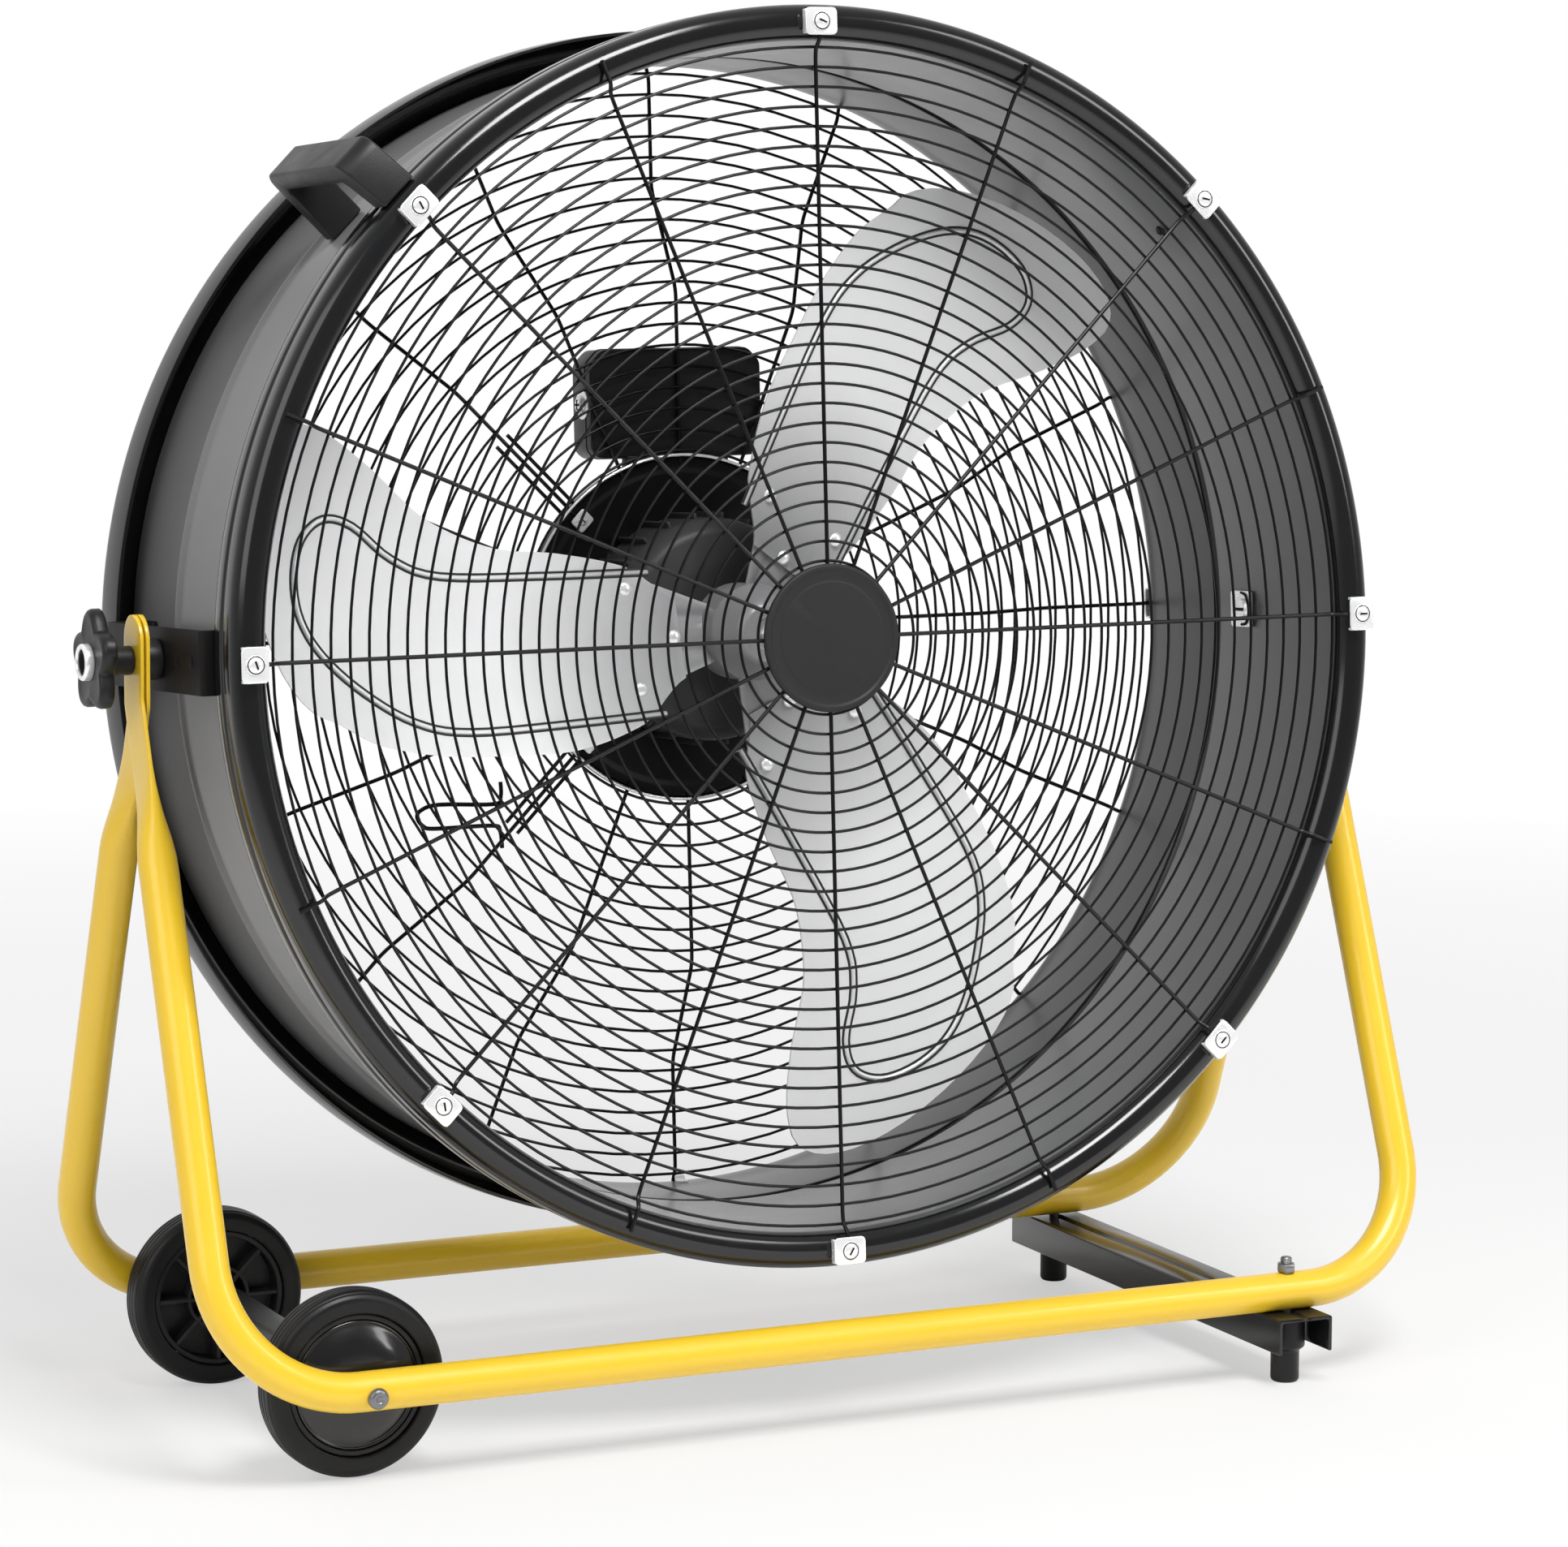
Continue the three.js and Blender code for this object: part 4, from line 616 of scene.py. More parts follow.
def control_box():
    """The box on the back of the plate, with the foot that it stands on and the seam of its lid."""
    half, height, bottom = 53.5, 62, 97
    outline = rounded([(-half, 5), (5 - half, 0), (half - 5, 0), (half, 5), (half, height - 8),
                       (half - 8, height), (8 - half, height), (-half, height - 8)], 3, 3)
    body = moved(prism(outline, BOX_DEPTH, 1.6), shift(0, BOX_BACK + BOX_DEPTH / 2, bottom) @ ALONG_Z)
    foot = block((64, 8, 16), (0, BOX_BACK + 4, bottom - 6), 1.4)
    seam = [(x * 1.008, y * 1.012 - 0.3) for x, y in outline]
    lip = moved(prism(seam, 2.0, 0.5), shift(0, BOX_BACK + 8, bottom) @ ALONG_Z)
    return [body, foot, lip]


def dial_shapes():
    radius = 16
    skirt = soft_lathe([(0, 0), (radius, 0), (radius, 3.4), (13.4, 5), (0, 5)], 0.9, 3, 64)
    grip = prism(rounded([(-3.6, -12.5), (3.6, -12.5), (2.6, 12.5), (-2.6, 12.5)], 1.6, 4), 9.6, 0.9)
    flute = block((1.2, 3.2, 1.4), (radius - 0.2, 1.8, 0), 0.4)
    return [skirt, moved(grip, shift(0, 9.2, 0) @ ALONG_Z), *(moved(flute, aimed(a)) for a in turns(24))]


piece("motor_can", motor_shapes(), "motor_black", "drum", ["motor_housing"])
piece("control_box_shell", control_box(), "black_plastic", "drum", ["control_box"])
piece("speed_dial_knob", dial_shapes(), "black_plastic", "dial", ["speed_dial"])
piece("speed_dial_line", [block((1.2, 0.5, 9), (0, 14.1, -6.5), 0.15)], "bright_steel", "dial")

# Four plain ticks round the dial, one for each of its stops.
tick = block((1.2, 0.5, 4.5), (0, 0.1, 21.5), 0.15)
ticks = [moved(tick, DRUM.inverted() @ DIAL @ aimed(radians(45 * i))) for i in range(4)]
piece("control_box_ticks", ticks, "bright_steel", "drum")

# Four screws in the back of the box, and a larger one with a washer on its left side.
box_screws, (head, bars) = [], screw(3.4, 1.6)
for x, z in ((-46, 104), (46, 104), (-46, 152), (46, 152)):
    place = shift(x, BOX_BACK + BOX_DEPTH, z) @ REARWARDS
    box_screws.append(moved(head, place))
    recess_shades += all_moved(bars, place)
thick = 1.0
washer = soft_lathe([(0, 0), (8.4, 0), (8.4, -thick), (0, -thick)], 0.4, 3, 40)
head, bars = screw(5.2, 3.0)
on_side = shift(-53.4, BOX_BACK + 11, 128) @ ALONG_X
on_washer = on_side @ shift(0, -thick, 0)
box_screws += [moved(washer, on_side), moved(head, on_washer)]
recess_shades += all_moved(bars, on_washer)

# A dark screw and a small bright clip on the inside of the barrel.
head, bars = screw(3.6, 1.8)
at_screw = aimed(radians(42.8)) @ shift(BARREL_INSIDE, -56.3, 0) @ ALONG_X
piece("barrel_screw", [moved(head, at_screw)], "black_steel", "drum")
recess_shades += all_moved(bars, at_screw)
at_clip = aimed(radians(-90.3)) @ shift(BARREL_INSIDE, 106, 0)
wall_clip = [block((1.4, 6, 6), (-0.6, 0, 0), 0.3), block((3, 1.2, 6), (-2, 2.6, 0), 0.3)]
piece("barrel_clip", all_moved(wall_clip, at_clip), "bright_steel", "drum")
piece("control_box_screws", box_screws, "bright_steel", "drum")


# ---- rotor
BLADE_HALF = 0.8  # half the thickness of a blade's sheet
STATIONS = [(42, 20, 24), (70, 37, 48), (110, 45, 61), (150, 49, 63), (190, 66, 62), (225, 97, 55),
            (255, 116, 40)]  # distance from the axis, width ahead of the blade's middle line and behind it
TIP_START, TIP_REACH, TIP_SHARE = 255, 36, 0.22
RIDGE_HALF, RIDGE_HEIGHT = 1.8, 1.3
RIDGE = [(57, 43), (110, 47), (172, 50), (203, 44), (230, 28), (252, 8), (264, -12), (267, -34), (262, -55),
         (249, -66), (232, -62), (210, -44), (182, -34), (120, -33), (57, -34)]
ridge_line = [p.to_2d() for p in smooth_path([(*p, 0) for p in RIDGE], 5)]
blade_turns = [aimed(radians(FIRST_BLADE) + a) for a in turns(3)]


def on_blade(reach, across, lift):
    """A point at this lift from the middle of a blade's pressed and twisted sheet."""
    slope = 0.24 - 0.23 * (reach / 288 - 0.5)
    return Vector((reach, BLADE_PLANE - slope * across + 6 * (1 - (across / 90) ** 2) + lift, across))


def station_at(reach):
    """Leading and trailing width at a reach, by a smooth curve through the stations."""
    last = len(STATIONS) - 1
    i = next(k for k in range(last) if reach <= STATIONS[k + 1][0] or k == last - 1)
    near = [STATIONS[min(max(k, 0), last)] for k in (i - 1, i, i + 1, i + 2)]
    t = (reach - near[1][0]) / (near[2][0] - near[1][0])
    return [between(*(s[side] for s in near), t) for side in (1, 2)]


def blade_rows(columns=28, rows=56):
    """Rows of (reach, across) from the root to the round tip, closer together near the blade's edges."""
    spacing = [-cos(pi * blend(0.06, 0.94, c / (columns - 1))) for c in range(columns)]
    shares = [0.5 + 0.5 * s / spacing[-1] for s in spacing]
    made = []
    for r in range(rows):
        t = r / (rows - 1) * (1 + TIP_SHARE)
        if t <= 1:
            reach = blend(STATIONS[0][0], TIP_START, t)
            lead, trail = station_at(reach)
        else:
            swing = (t - 1) / TIP_SHARE * pi / 2 * 0.985
            reach = TIP_START + TIP_REACH * sin(swing)
            middle, half = blend(-38, -54, sin(swing)), 78 * cos(swing)
            lead, trail = half - middle, half + middle
        made.append([(reach, blend(-lead, trail, share)) for share in shares])
    return made


def blade_shape():
    return skin([[on_blade(*p, -BLADE_HALF) for p in row] + [on_blade(*p, BLADE_HALF) for p in row[::-1]]
                 for row in blade_rows()], caps=True)


def ridge_row(i, spots):
    """Points beside point i of the ridge line, each at an offset from the line and a lift."""
    ahead = (ridge_line[min(i + 1, len(ridge_line) - 1)] - ridge_line[max(i - 1, 0)]).normalized()
    aside = Vector((-ahead.y, ahead.x))
    return [on_blade(*(ridge_line[i] + aside * offset), lift) for offset, lift in spots]


def ridge_strip():
    """The ridge pressed into a blade: a low bead that follows the ridge line and stands on the sheet."""
    bulge = [(RIDGE_HALF * c / 5, cos(pi * c / 10) ** 2) for c in range(-5, 6)]
    over = [(offset, 0.03 - BLADE_HALF - RIDGE_HEIGHT * high) for offset, high in bulge]
    behind = [(offset, BLADE_HALF + 0.35 * high) for offset, high in reversed(bulge)]
    return skin([ridge_row(i, over + behind) for i in range(len(ridge_line))], caps=True)


def ridge_shade_line(side):
    """A dark wire along the foot of the ridge on one side: painted shade, for the shade in the pressed
    groove.
    """
    spots = [(side * RIDGE_HALF, -BLADE_HALF)]
    return wire([ridge_row(i, spots)[0] for i in range(len(ridge_line))], 0.75, 6)


def hub_shapes():
    """The hub, and three arms with two ribs each that run out behind the blades."""
    front, rear = BLADE_PLANE - 23, BLADE_PLANE + 23
    body = soft_lathe([(6.4, rear), (25, rear), (27, rear - 2), (27, BLADE_PLANE - 4), (19, front + 3),
                       (15.5, front), (9, front), (8, front + 2), (0, front + 2)], 1.6, 4, 72)
    rows = []
    for step in range(15):
        reach = blend(20, 84, step / 14)
        end = 1 if step < 10 else sqrt(max(1 - ((step - 10) / 4.4) ** 2, 0.05))
        wide = blend(15, 30, min(step / 9, 1)) * end
        row = []
        for side, columns in ((-1, range(-8, 9)), (1, range(8, -9, -1))):
            for c in columns:
                rib = 1.6 * exp(-((abs(wide * c / 8) - 9) / 2.6) ** 2)
                row.append(on_blade(reach, wide * c / 8, 1.9 + side * 0.8 + rib))
        rows.append(row)
    return [body, *(moved(skin(rows, caps=True), turn) for turn in blade_turns)]


blade_solids, ridge_shade_lines = [blade_shape(), ridge_strip()], [ridge_shade_line(-1), ridge_shade_line(1)]
rivets = []
rivet = lathe([(4.2 * cos(radians(a)), -2.2 * sin(radians(a))) for a in range(0, 91, 15)],
              20, closed=False)
for i, turn in enumerate(blade_turns):
    piece(f"blade_pressing_{i + 1}", all_moved(blade_solids, turn), "grey_metal", "rotor", [f"blade_{i + 1}"],
          sharp=50)
    # Dark wires along each ridge: painted shade of the pressed grooves.
    piece(f"blade_groove_shade_{i + 1}", all_moved(ridge_shade_lines, turn), "grey_metal", "rotor", look="groove_shade",
          weld=False)
    for reach, across in ((70, 30), (46, 2), (72, -25)):
        rivets.append(moved(rivet, turn @ Matrix.Translation(on_blade(reach, across, -BLADE_HALF))))
piece("blade_rivets", rivets, "bright_steel", "rotor")
piece("rotor_spider", hub_shapes(), "grey_metal", "rotor", ["rotor_hub"])
hex_bolt = lathe([(0, 0), (3.4, 0), (3.4, -1.6), (2.8, -2.2), (0, -2.2)], 6, closed=False)
piece("rotor_bolt", [moved(hex_bolt, shift(0, BLADE_PLANE - 21, 0) @ Matrix.Scale(1.6, 4))], "bright_steel",
      "rotor")


# ---- handle
def handle_shape():
    """An arch of moulded plastic, swept along its outline and soft at its edges."""
    start, end, reach, grip, width = -88, 22, 372, 12, 23
    on_rim, on_barrel, grip_inside = RIM_RADIUS + GAP, BARREL_RADIUS + 0.4, reach - grip
    outer = [(on_rim, start - 10), (reach - 5, start - 2), (reach, start + 3), (reach, end - 5),
             (reach - 5, end), (on_barrel, end)]
    inner = [(on_barrel, end - grip), (grip_inside - 3, end - grip), (grip_inside, end - grip - 3),
             (grip_inside, start + grip + 3), (grip_inside - 3, start + grip), (on_rim, start + grip - 8)]
    outline = rounded(outer, 5, 5, closed=False) + rounded(inner, 4, 5, closed=False)
    return moved(prism(outline, width, 1.6, 4, 50), aimed(radians(135)))


piece("handle_arch", [handle_shape()], "black_plastic", "drum", ["carry_handle"])


# ---- tilt pivots
BRACKET_FACE = RIM_RADIUS + 5.8
KNOB_START = LEG_X + PADDLE_FACE + GAP
KNOB_DISC = KNOB_START + 15


def bracket():
    """A strap bent out from the barrel and back, as an outline seen along its width."""
    sheet, seat, lap, width = 2.6, BARREL_RADIUS + GAP, 16, 34
    front, rear = FRONT_CREST + RIM_BAND + 3, REAR_CREST - RIM_BAND - 3
    web, lap_top = BRACKET_FACE - sheet, seat + sheet
    outline = [(seat, front + lap), (seat, front), (BRACKET_FACE, front), (BRACKET_FACE, rear), (seat, rear),
               (seat, rear - lap), (lap_top, rear - lap), (lap_top, rear - sheet), (web, rear - sheet),
               (web, front + sheet), (lap_top, front + sheet), (lap_top, front + lap)]
    return prism(rounded(outline, 3.4, 4), width, 0.5, 2, 50)


def knob_lobes():
    """The knob's head: a disc with lobes, soft at its face, sunk in the middle."""
    lobes, waist, tip = 5, 20.2, 28
    outline = []
    for angle in turns(160):
        radius = blend(waist, tip, ((1 + cos(lobes * angle)) / 2) ** 0.72)
        outline.append((radius * sin(angle), radius * cos(angle)))
    profile = [(0, 0.90), (0.7, 0.965), (1.8, 1.0), (5.8, 1.0), (7.4, 0.975), (8.3, 0.93), (8.6, 0.87),
               (8.2, 0.80), (8.0, 0.5)]  # height above the disc's back, share of the full outline
    return skin([[Vector((KNOB_DISC + x, y * s, z * s)) for y, z in outline] for x, s in profile], caps=True)


def pivot_side(name, side):
    """The bracket, plate, bolt, spacer and knob of one side; x runs outwards from the drum."""
    mirror = DRUM @ Matrix.Scale(side, 4, (1, 0, 0))

    def add(part, solids, slot_name, node=None, body="drum", look=None):
        nodes = [f"{name}_{node}"] if node else ()
        piece(f"{name}_{part}", solids, slot_name, body, nodes, mirror, look=look)

    add("bracket_strap", [bracket()], "black_steel", "pivot_bracket", look="strap_coat")
    head = moved(screw(3.2, 0.9)[0], ALONG_X.inverted())
    heads = [moved(head, shift(BRACKET_FACE, place, 0)) for place in (-52, -30, 48, 70)]
    add("bracket_screws", heads, "black_steel", look="strap_coat")

    seat = BARREL_INSIDE - 1.1
    plate = prism(rounded([(-10.5, -7), (10.5, -7), (10.5, 15), (-10.5, 15)], 2.4, 4), 1.8, 0.5)
    plate = moved(plate, shift(seat - 0.9, 0, 0) @ Matrix.Rotation(pi / 2, 4, "Y"))
    add("plate_pressing", [plate], "bright_steel", "pivot_plate")
    tip = KNOB_START + 14
    bolt = soft_lathe([(0, seat - 5), (5, seat - 4.6), (6.6, seat - 2.2), (4, seat - 2), (4, tip), (0, tip)],
                      0.7, 3, 40)
    add("bolt_turned", [moved(bolt, ALONG_X)], "bright_steel", "pivot_bolt")
    # Painted shade: the bolt's slot is a dark block. The spring beside it is a dark wire.
    slot = block((0.7, 8.5, 1.8), (seat - 4.9, 0, 0), 0.1)
    bends = ((2, 9.6), (-3, 8), (-5.6, 3), (-6, -3), (-3, -8), (2, -9))
    spring = wire(smooth_path([(seat - 2.4, y, z) for y, z in bends], 5), 0.8)
    add("bolt_slot", [slot, spring], "black_steel", look="slot_shade_and_black")
    spacer = tube(11, BRACKET_FACE + GAP, LEG_X - PADDLE_FACE - GAP, BORE, 0.8, 3, 56)
    add("spacer_ring", [moved(spacer, ALONG_X)], "black_plastic", "pivot_spacer")

    clamp, end = f"{name}_clamp", KNOB_DISC + 8.9
    hub = soft_lathe([(4.4, KNOB_START), (7.8, KNOB_START), (7.8, KNOB_DISC - 2), (10.5, KNOB_DISC + 0.5),
                      (4.4, KNOB_DISC + 0.5)], 1.0, 3, 48, True)
    add("knob_lobes", [knob_lobes(), moved(hub, ALONG_X)], "black_plastic", "knob", clamp)
    cap = soft_lathe([(7, end - 1), (9.8, end - 1), (9.8, end + 3), (9, end + 4), (7.6, end + 4),
                      (7, end + 3.2)], 0.6, 3, 48, True)
    add("knob_ring", [moved(cap, ALONG_X)], "bright_steel", "knob_cap", clamp)
    socket = soft_lathe([(0, end - 0.9), (7, end - 0.9), (7, end + 2.6), (5.2, end + 2.6), (4.6, end),
                         (0, end)], 0.3, 2, 48)
    add("knob_socket", [moved(socket, ALONG_X)], "bright_steel", None, clamp, "slot_shade_and_black")


pivot_side("right", 1)
pivot_side("left", -1)


# ---- stand
def tube_frame(side, paddle_x):
    """A tube loop: flat ends that stand upright at the pivots, slanted legs, and a run on the floor side."""
    fall = PIVOT_HEIGHT - RUN_HEIGHT - PADDLE_FLAT
    leg = hypot(STAND_HALF, fall)
    upright, right = Vector((0, 0, -1)), Vector((1, 0, 0))
    slant = Vector((0, side * STAND_HALF, -fall)).normalized()
    flat, wide, square = PADDLE
    # Each station: x, way down the leg, lean, turn of the bend, half thickness, half width, squareness.
    stations = []
    for degrees in (8, 18, 30, 42, 55, 68, 80, 90):
        a = radians(degrees)
        stations.append((paddle_x, wide * (1 - cos(a)) - PADDLE_TOP, 0, 0,
                         flat, wide * sin(a), square))
    for step in range(-3, 4):
        stations.append((paddle_x, PADDLE_FLAT + 3 * step, (step + 4) / 8, 0, *PADDLE))
    for step in range(15):
        t = step / 14
        ease = t * t * (3 - 2 * t)
        stations.append((blend(paddle_x, LEG_X, ease), PADDLE_FLAT + PADDLE_SPLIT + PADDLE_TAPER * t, 1, 0,
                         blend(flat, TUBE_RADIUS, ease), blend(wide, TUBE_RADIUS, ease),
                         blend(square, 1, min(1, ease * 1.6))))
    for step in range(25):
        turned = pi / 2 * step / 24
        stations.append((LEG_X - BEND_RADIUS * (1 - cos(turned)),
                         PADDLE_FLAT + leg - BEND_RADIUS * (1 - sin(turned)), 1, turned,
                         TUBE_RADIUS, TUBE_RADIUS, 1))
    rows = []
    ordered = [(-1, s) for s in stations] + [(1, s) for s in reversed(stations)]
    for hand, (x, distance, lean, turned, half, wide, corner) in ordered:
        on_leg = max(distance - PADDLE_FLAT, 0)
        middle = Vector((hand * x, 0, PIVOT_HEIGHT + on_leg - distance)) + slant * on_leg
        across = right.cross(upright.lerp(slant, lean)).normalized()
        out = right * (hand * cos(turned)) + slant * sin(turned)
        row = []
        for a in turns(40):
            c, s = cos(a), sin(a)
            row.append(middle + out * (half * copysign(abs(c) ** corner, c)) + across * (wide * s))
        rows.append(row)
    return skin(rows, caps=True)


for name, side in (("front", -1), ("rear", 1)):
    piece(f"{name}_loop_tube", [tube_frame(side, LEG_X - side * PADDLE_STEP)], "yellow_paint", "stand",
          [f"{name}_tube_frame"], sharp=45)


# ---- wheels and axle
def wheel(name, side):
    mirror = AXLE @ Matrix.Scale(side, 4, (0, 1, 0))
    place, body = mirror @ shift(0, WHEEL_MIDDLE, 0), f"{name}_wheel"
    half = WHEEL_WIDTH / 2

    # The tyre: one shoulder, three shallow grooves round the tread, and the other shoulder.
    shoulder = [(37.8, 0.6), (38.6, 0.1), (44.6, 0), (46.2, 0.5), (47.8, 1.7), (48.3, 2.6), (48.1, 3.0),
                (48.9, 3.6)]
    tread = [(radius, -half + rise) for radius, rise in shoulder]
    bottom = WHEEL_RADIUS - 0.5
    for groove in (-3.6, 0, 3.6):
        tread += [(WHEEL_RADIUS, groove - 0.8), (bottom, groove - 0.4), (bottom, groove + 0.4),
                  (WHEEL_RADIUS, groove + 0.8)]
    tread += [(radius, half - rise) for radius, rise in reversed(shoulder)]
    tyre = soft_lathe(tread, 0.4, 2, 144, True)
    piece(f"{name}_tyre_ring", [tyre], "rubber", body, [f"{name}_tyre"], place)

    # The wheel's centre: a hub, a web and a rim, with ribs and a low ring on the web.
    rim, rim_inside, web = 37.5, 34.5, 2
    centre = [(BORE, -half), (9.5, -half), (10, web), (rim_inside, web), (rim_inside, -half + 2),
              (rim, -half + 2), (rim, half - 2), (rim_inside, half - 2), (rim_inside, 5), (BORE, 5)]
    rib = block((25.6, 10, 2.4), (22, -3.2, 0), 0.6)
    solids = [soft_lathe(centre, 0.7, 3, 96, True), *(moved(rib, aimed(a)) for a in turns(8)),
              tube(18, -half + 3, web, 16, 0.5, 2, 64)]
    piece(f"{name}_wheel_spokes", solids, "black_plastic", body, [f"{name}_wheel_centre"], place)

    # The hubcap: a dome with a raised edge.
    face, back, edge = STAND_HALF - TUBE_RADIUS - 2 - WHEEL_MIDDLE, 5.3, 34.2
    curve = ((0.86, 0.48), (0.74, 0.68), (0.58, 0.84))
    dome = [(edge * share, blend(back, face, rise)) for share, rise in curve]
    cap = [(BORE, back), (edge, back), (edge, back + 3.2), (edge - 0.9, back + 3.8), (edge - 1.8, back + 3.2),
           *dome, (edge * 0.4, face - 0.75), (edge * 0.2, face - 0.2), (BORE, face)]
    piece(f"{name}_hubcap_dome", [soft_lathe(cap, 2.6, 5, 128, True)], "gloss_black", body,
          [f"{name}_hubcap"], place)
    washer = tube(8, face + WHEEL_MIDDLE + GAP, STAND_HALF - TUBE_RADIUS - GAP, BORE, 0.3, 2, 40)
    piece(f"{name}_washer_ring", [washer], "bright_steel", "stand", [f"{name}_wheel_washer"], mirror)


wheel("rear", 1)
wheel("front", -1)

NUT_SEAT = STAND_HALF + TUBE_RADIUS + GAP


def axle_shape():
    """The axle, with its domed head in front and its end behind."""
    head, end, radius = -NUT_SEAT, NUT_SEAT + 8.2, 4
    rod = [(0, head - 2.6), (1.6, head - 2.7), (2.2, head - 3.3), (3.6, head - 3.3), (4.8, head - 2.6),
           (5.6, head - 1.1), (5.6, head), (radius, head), (radius, end - 1), (3.2, end), (0, end)]
    return soft_lathe(rod, 0.35, 3, 48)


def hex_nut(radius, start, end):
    """A chamfered six-sided nut about the Y axis."""
    rows = [[polar(radius * share, place, a) for a in turns(6)]
            for share, place in ((0.9, start), (1, start + 0.7), (1, end - 0.7), (0.9, end))]
    return softened(skin(rows, caps=True), 0.25, 2, 40)


piece("axle_rod", [axle_shape()], "bright_steel", "stand", ["axle"], AXLE, look="dull_steel")
sleeve_reach = WHEEL_MIDDLE - WHEEL_WIDTH / 2 - GAP
piece("axle_sleeve_tube", [tube(9.5, -sleeve_reach, sleeve_reach, BORE, 0.6, 3, 64)], "black_steel", "stand",
      ["axle_sleeve"], AXLE, look="sleeve_coat")
nut_end = NUT_SEAT + 5.5
nut_face = lathe([(4.1, nut_end - 0.2), (4.1, nut_end + 0.1), (0, nut_end + 0.1)], 24, closed=False)
piece("axle_nut_hex", [hex_nut(7.1, NUT_SEAT, nut_end), nut_face], "bright_steel", "stand", ["axle_nut"],
      AXLE, look="dull_steel")


# ---- foot bar
def foot_bar():
    """A channel, open below, with a shallow groove along the middle of its top."""
    half, sheet, length, groove, deep = 17, 2, 312, 1.7, -1.1
    lip, below = groove + 0.9, -BAR_HEIGHT
    outline = [(-half, below), (-half, 0), (-lip, 0), (-groove, deep), (groove, deep), (lip, 0), (half, 0),
               (half, below), (half - sheet, below), (half - sheet, -sheet), (sheet - half, -sheet),
               (sheet - half, below)]
    bar = prism(rounded(outline, 1.6, 4), length, 0.35, 2)
    return moved(bar, shift(BAR_X, 0, BAR_TOP) @ ALONG_Z)


piece("foot_bar_channel", [foot_bar()], "black_steel", "stand", ["foot_bar"])
tube_top = RUN_HEIGHT + TUBE_RADIUS
for name, side in (("front", -1), ("rear", 1)):
    # The lathes turn about Y, and ALONG_Z stands them up.
    here = shift(BAR_X, side * STAND_HALF, 0) @ ALONG_Z
    top, bottom = BAR_TOP - 2.3, BAR_TOP - BAR_HEIGHT
    foot = soft_lathe([(0, 0), (7, 0), (8, 1.5), (8, bottom - 3), (8.4, bottom - 2), (11, bottom), (11, top),
                       (0, top)], 0.9, 3, 48)
    piece(f"{name}_foot_rubber", [foot], "rubber", "stand", [f"{name}_foot"], here)
    start, end, radius = BAR_TOP - 15, tube_top + 9, 3
    stud = soft_lathe([(0, start), (radius, start), (radius, end - 0.8), (2.3, end), (0, end)], 0.2, 2, 32)
    threads = [ring(radius - 0.05, end - 0.9 - 0.8 * i, 0.28, 32, 6) for i in range(5)]
    piece(f"{name}_foot_stud", [stud, *threads], "bright_steel", "stand", [f"{name}_foot_bolt"], here,
          look="dull_steel")
    piece(f"{name}_foot_nut_hex", [hex_nut(5.4, tube_top + GAP, tube_top + GAP + 5)], "bright_steel", "stand",
          [f"{name}_foot_nut"], here, look="dull_steel")

# All the painted shade of the slots and grooves, as one piece.
piece("screw_recess_shade", recess_shades, "black_steel", "drum", look="slot_shade_and_black")

# The motor's shaft stays as its CAD node, and gets the same finish as the other bright parts.
shaft_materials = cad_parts["motor_shaft"].data.materials
shaft_materials.clear()
shaft_materials.append(LOOKS["bright_steel"])


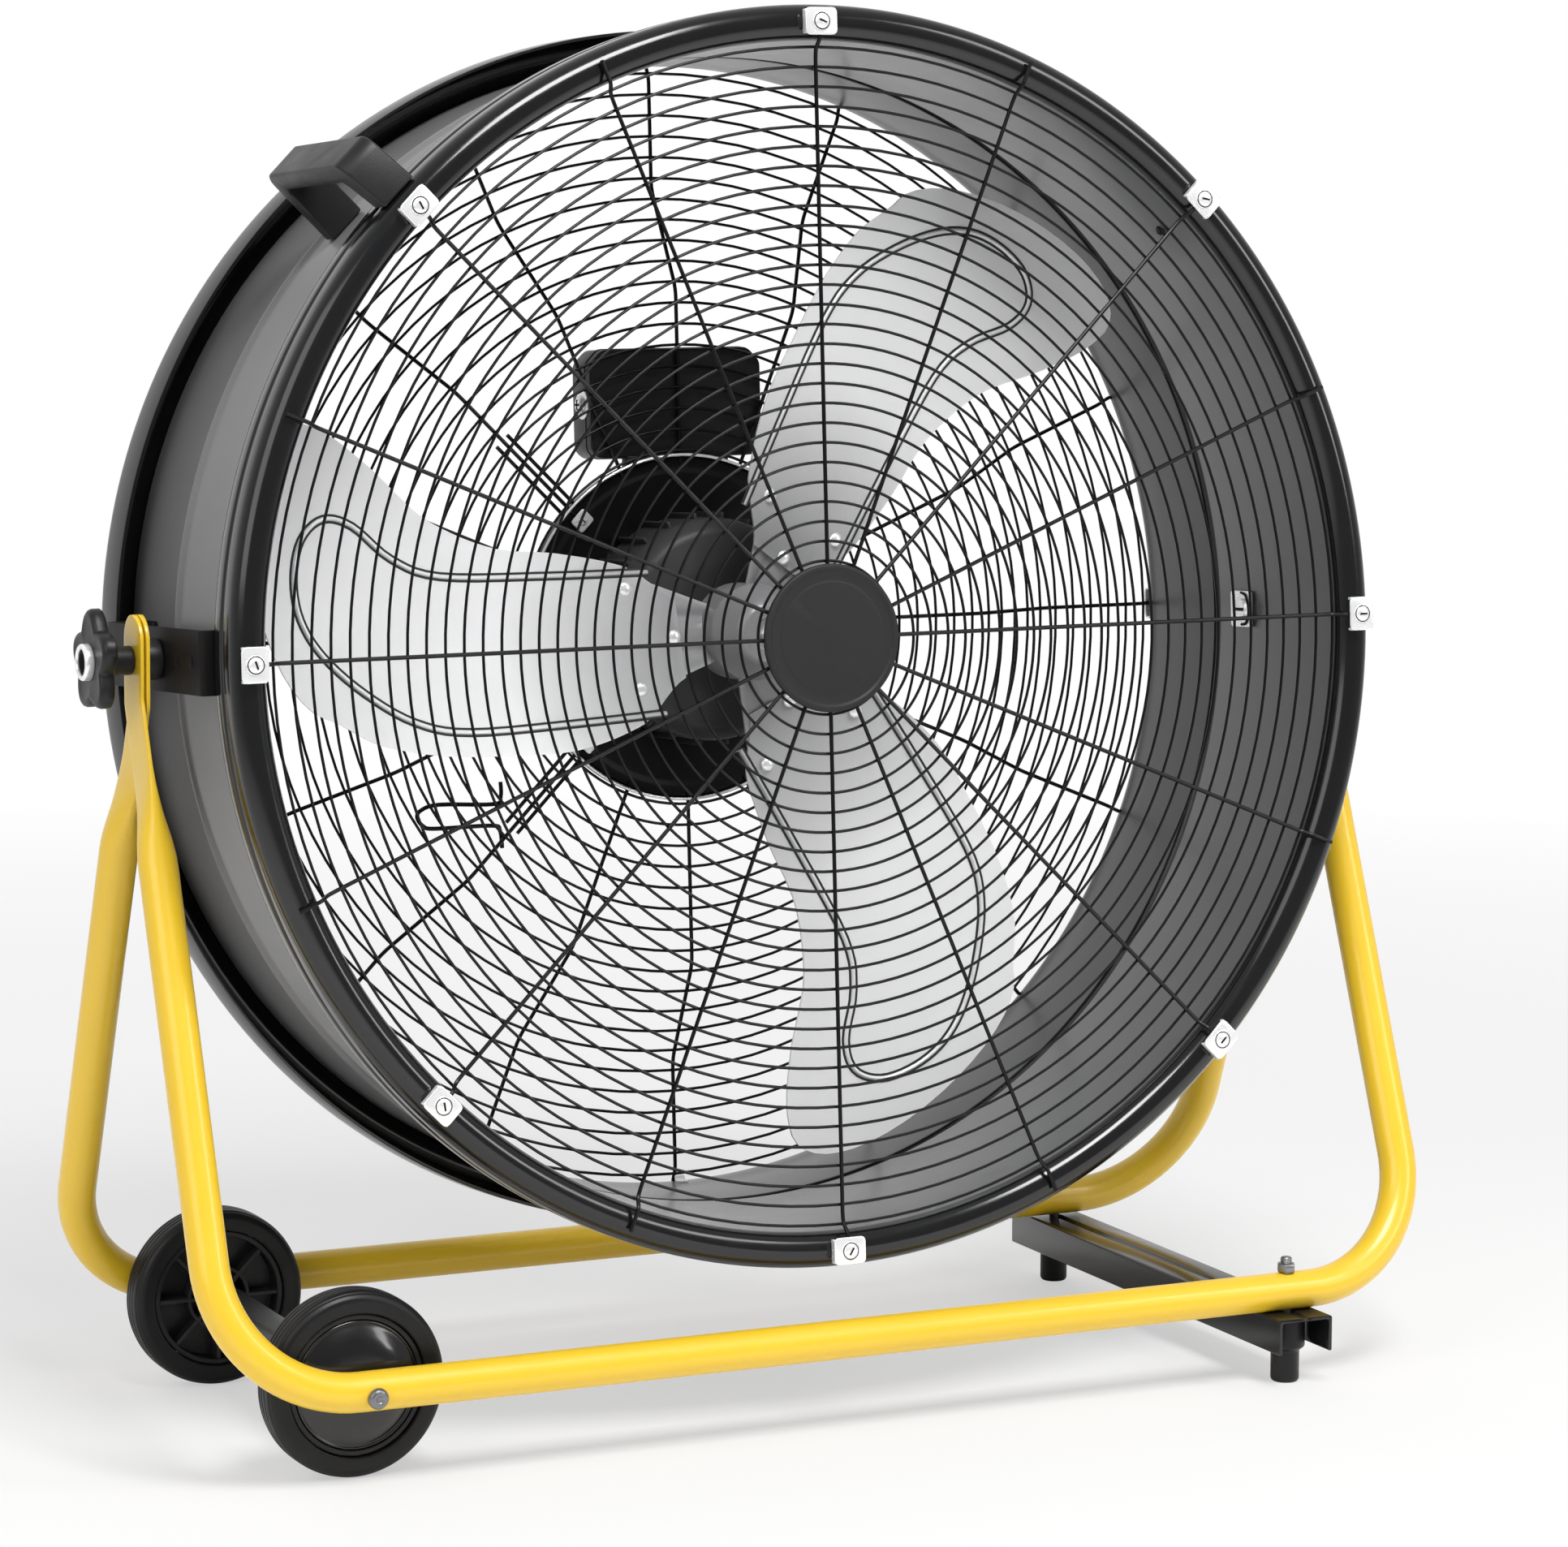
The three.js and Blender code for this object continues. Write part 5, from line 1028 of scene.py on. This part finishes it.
# ---- stage
def stage_material():
    """A pale floor that fades into the white background with distance. Seen by the camera itself, it is
    an even pale grey with faint shadows."""
    n = Nodes(bpy.data.materials.new("pale_floor"))
    seen = n.camera_ray()
    return n.shaded({
        "Base Color": n.mix(seen, (0.92, 0.92, 0.92, 1), (0.32, 0.32, 0.32, 1)),
        "Roughness": 0.85, "Specular IOR Level": 0.1,
        "Alpha": n.spread(n.vector("LENGTH", n.coords["Object"])["Value"], 1, 0, 0.9, 2.4),
        "Emission Color": (1, 1, 1, 1), "Emission Strength": n.spread(seen, 0, 0.5, 0, 1)})


bpy.ops.mesh.primitive_plane_add(size=12, location=(0, 0, 0))
floor = bpy.context.object
floor.name = "floor"
floor.data.materials.append(stage_material())


def studio():
    """A white room whose front is dimmer than its back, and plain white where the camera sees it."""
    n = Nodes(bpy.data.worlds.new("studio"))
    towards = n.add("ShaderNodeSeparateXYZ", {0: n.coords["Generated"]}).outputs
    shade = n.spread(towards["Y"], 0.26, 0.9, -0.7, 0.8)
    strength = n.add("ShaderNodeMath", {0: n.camera_ray(), 1: shade}, operation="MAXIMUM").outputs[0]
    n.put(n.tree.nodes["Background"], {"Color": (1, 1, 1, 1), "Strength": strength})
    return n.owner


bpy.context.scene.world = studio()


def lamp(name, spot, size, power):
    """A rectangular lamp in metres and watts that is aimed at the middle of the fan."""
    data = bpy.data.lights.new(name, "AREA")
    data.shape = "RECTANGLE"
    data.size, data.size_y = size
    data.energy = power
    made = in_scene(name, data)
    made.location = spot
    made.rotation_euler = (Vector((0, 0, 0.4)) - Vector(spot)).to_track_quat("-Z", "Y").to_euler()


lamp("key", (-2.8, -1.7, 2.0), (2.0, 2.4), 43)
lamp("side", (2.0, -2.0, 1.6), (0.5, 2.0), 28)
lamp("top", (0.0, -1.7, 2.9), (1.2, 1.0), 97)

# The camera stands where the photograph was taken from. Its place and angles were fitted to it.
camera_data = bpy.data.cameras.new("camera")
camera = in_scene("camera", camera_data)
spot = (-1.22458, -2.56731, 0.72268)
forward = Vector((0.4126, 0.9062, -0.0924)).normalized()
right = Vector((0.9101, -0.4144, 0)).normalized()
up = right.cross(forward).normalized()
roll = Matrix.Rotation(radians(-0.147), 3, forward)
camera.matrix_world = Matrix((*zip(roll @ right, roll @ up, -forward, spot), (0, 0, 0, 1)))
camera_data.lens = 118.27
camera_data.sensor_width = 36
camera_data.shift_x, camera_data.shift_y = 0.0797, -0.1349
camera_data.clip_end = 60
bpy.context.scene.camera = camera
bpy.context.scene.view_settings.view_transform = "Standard"
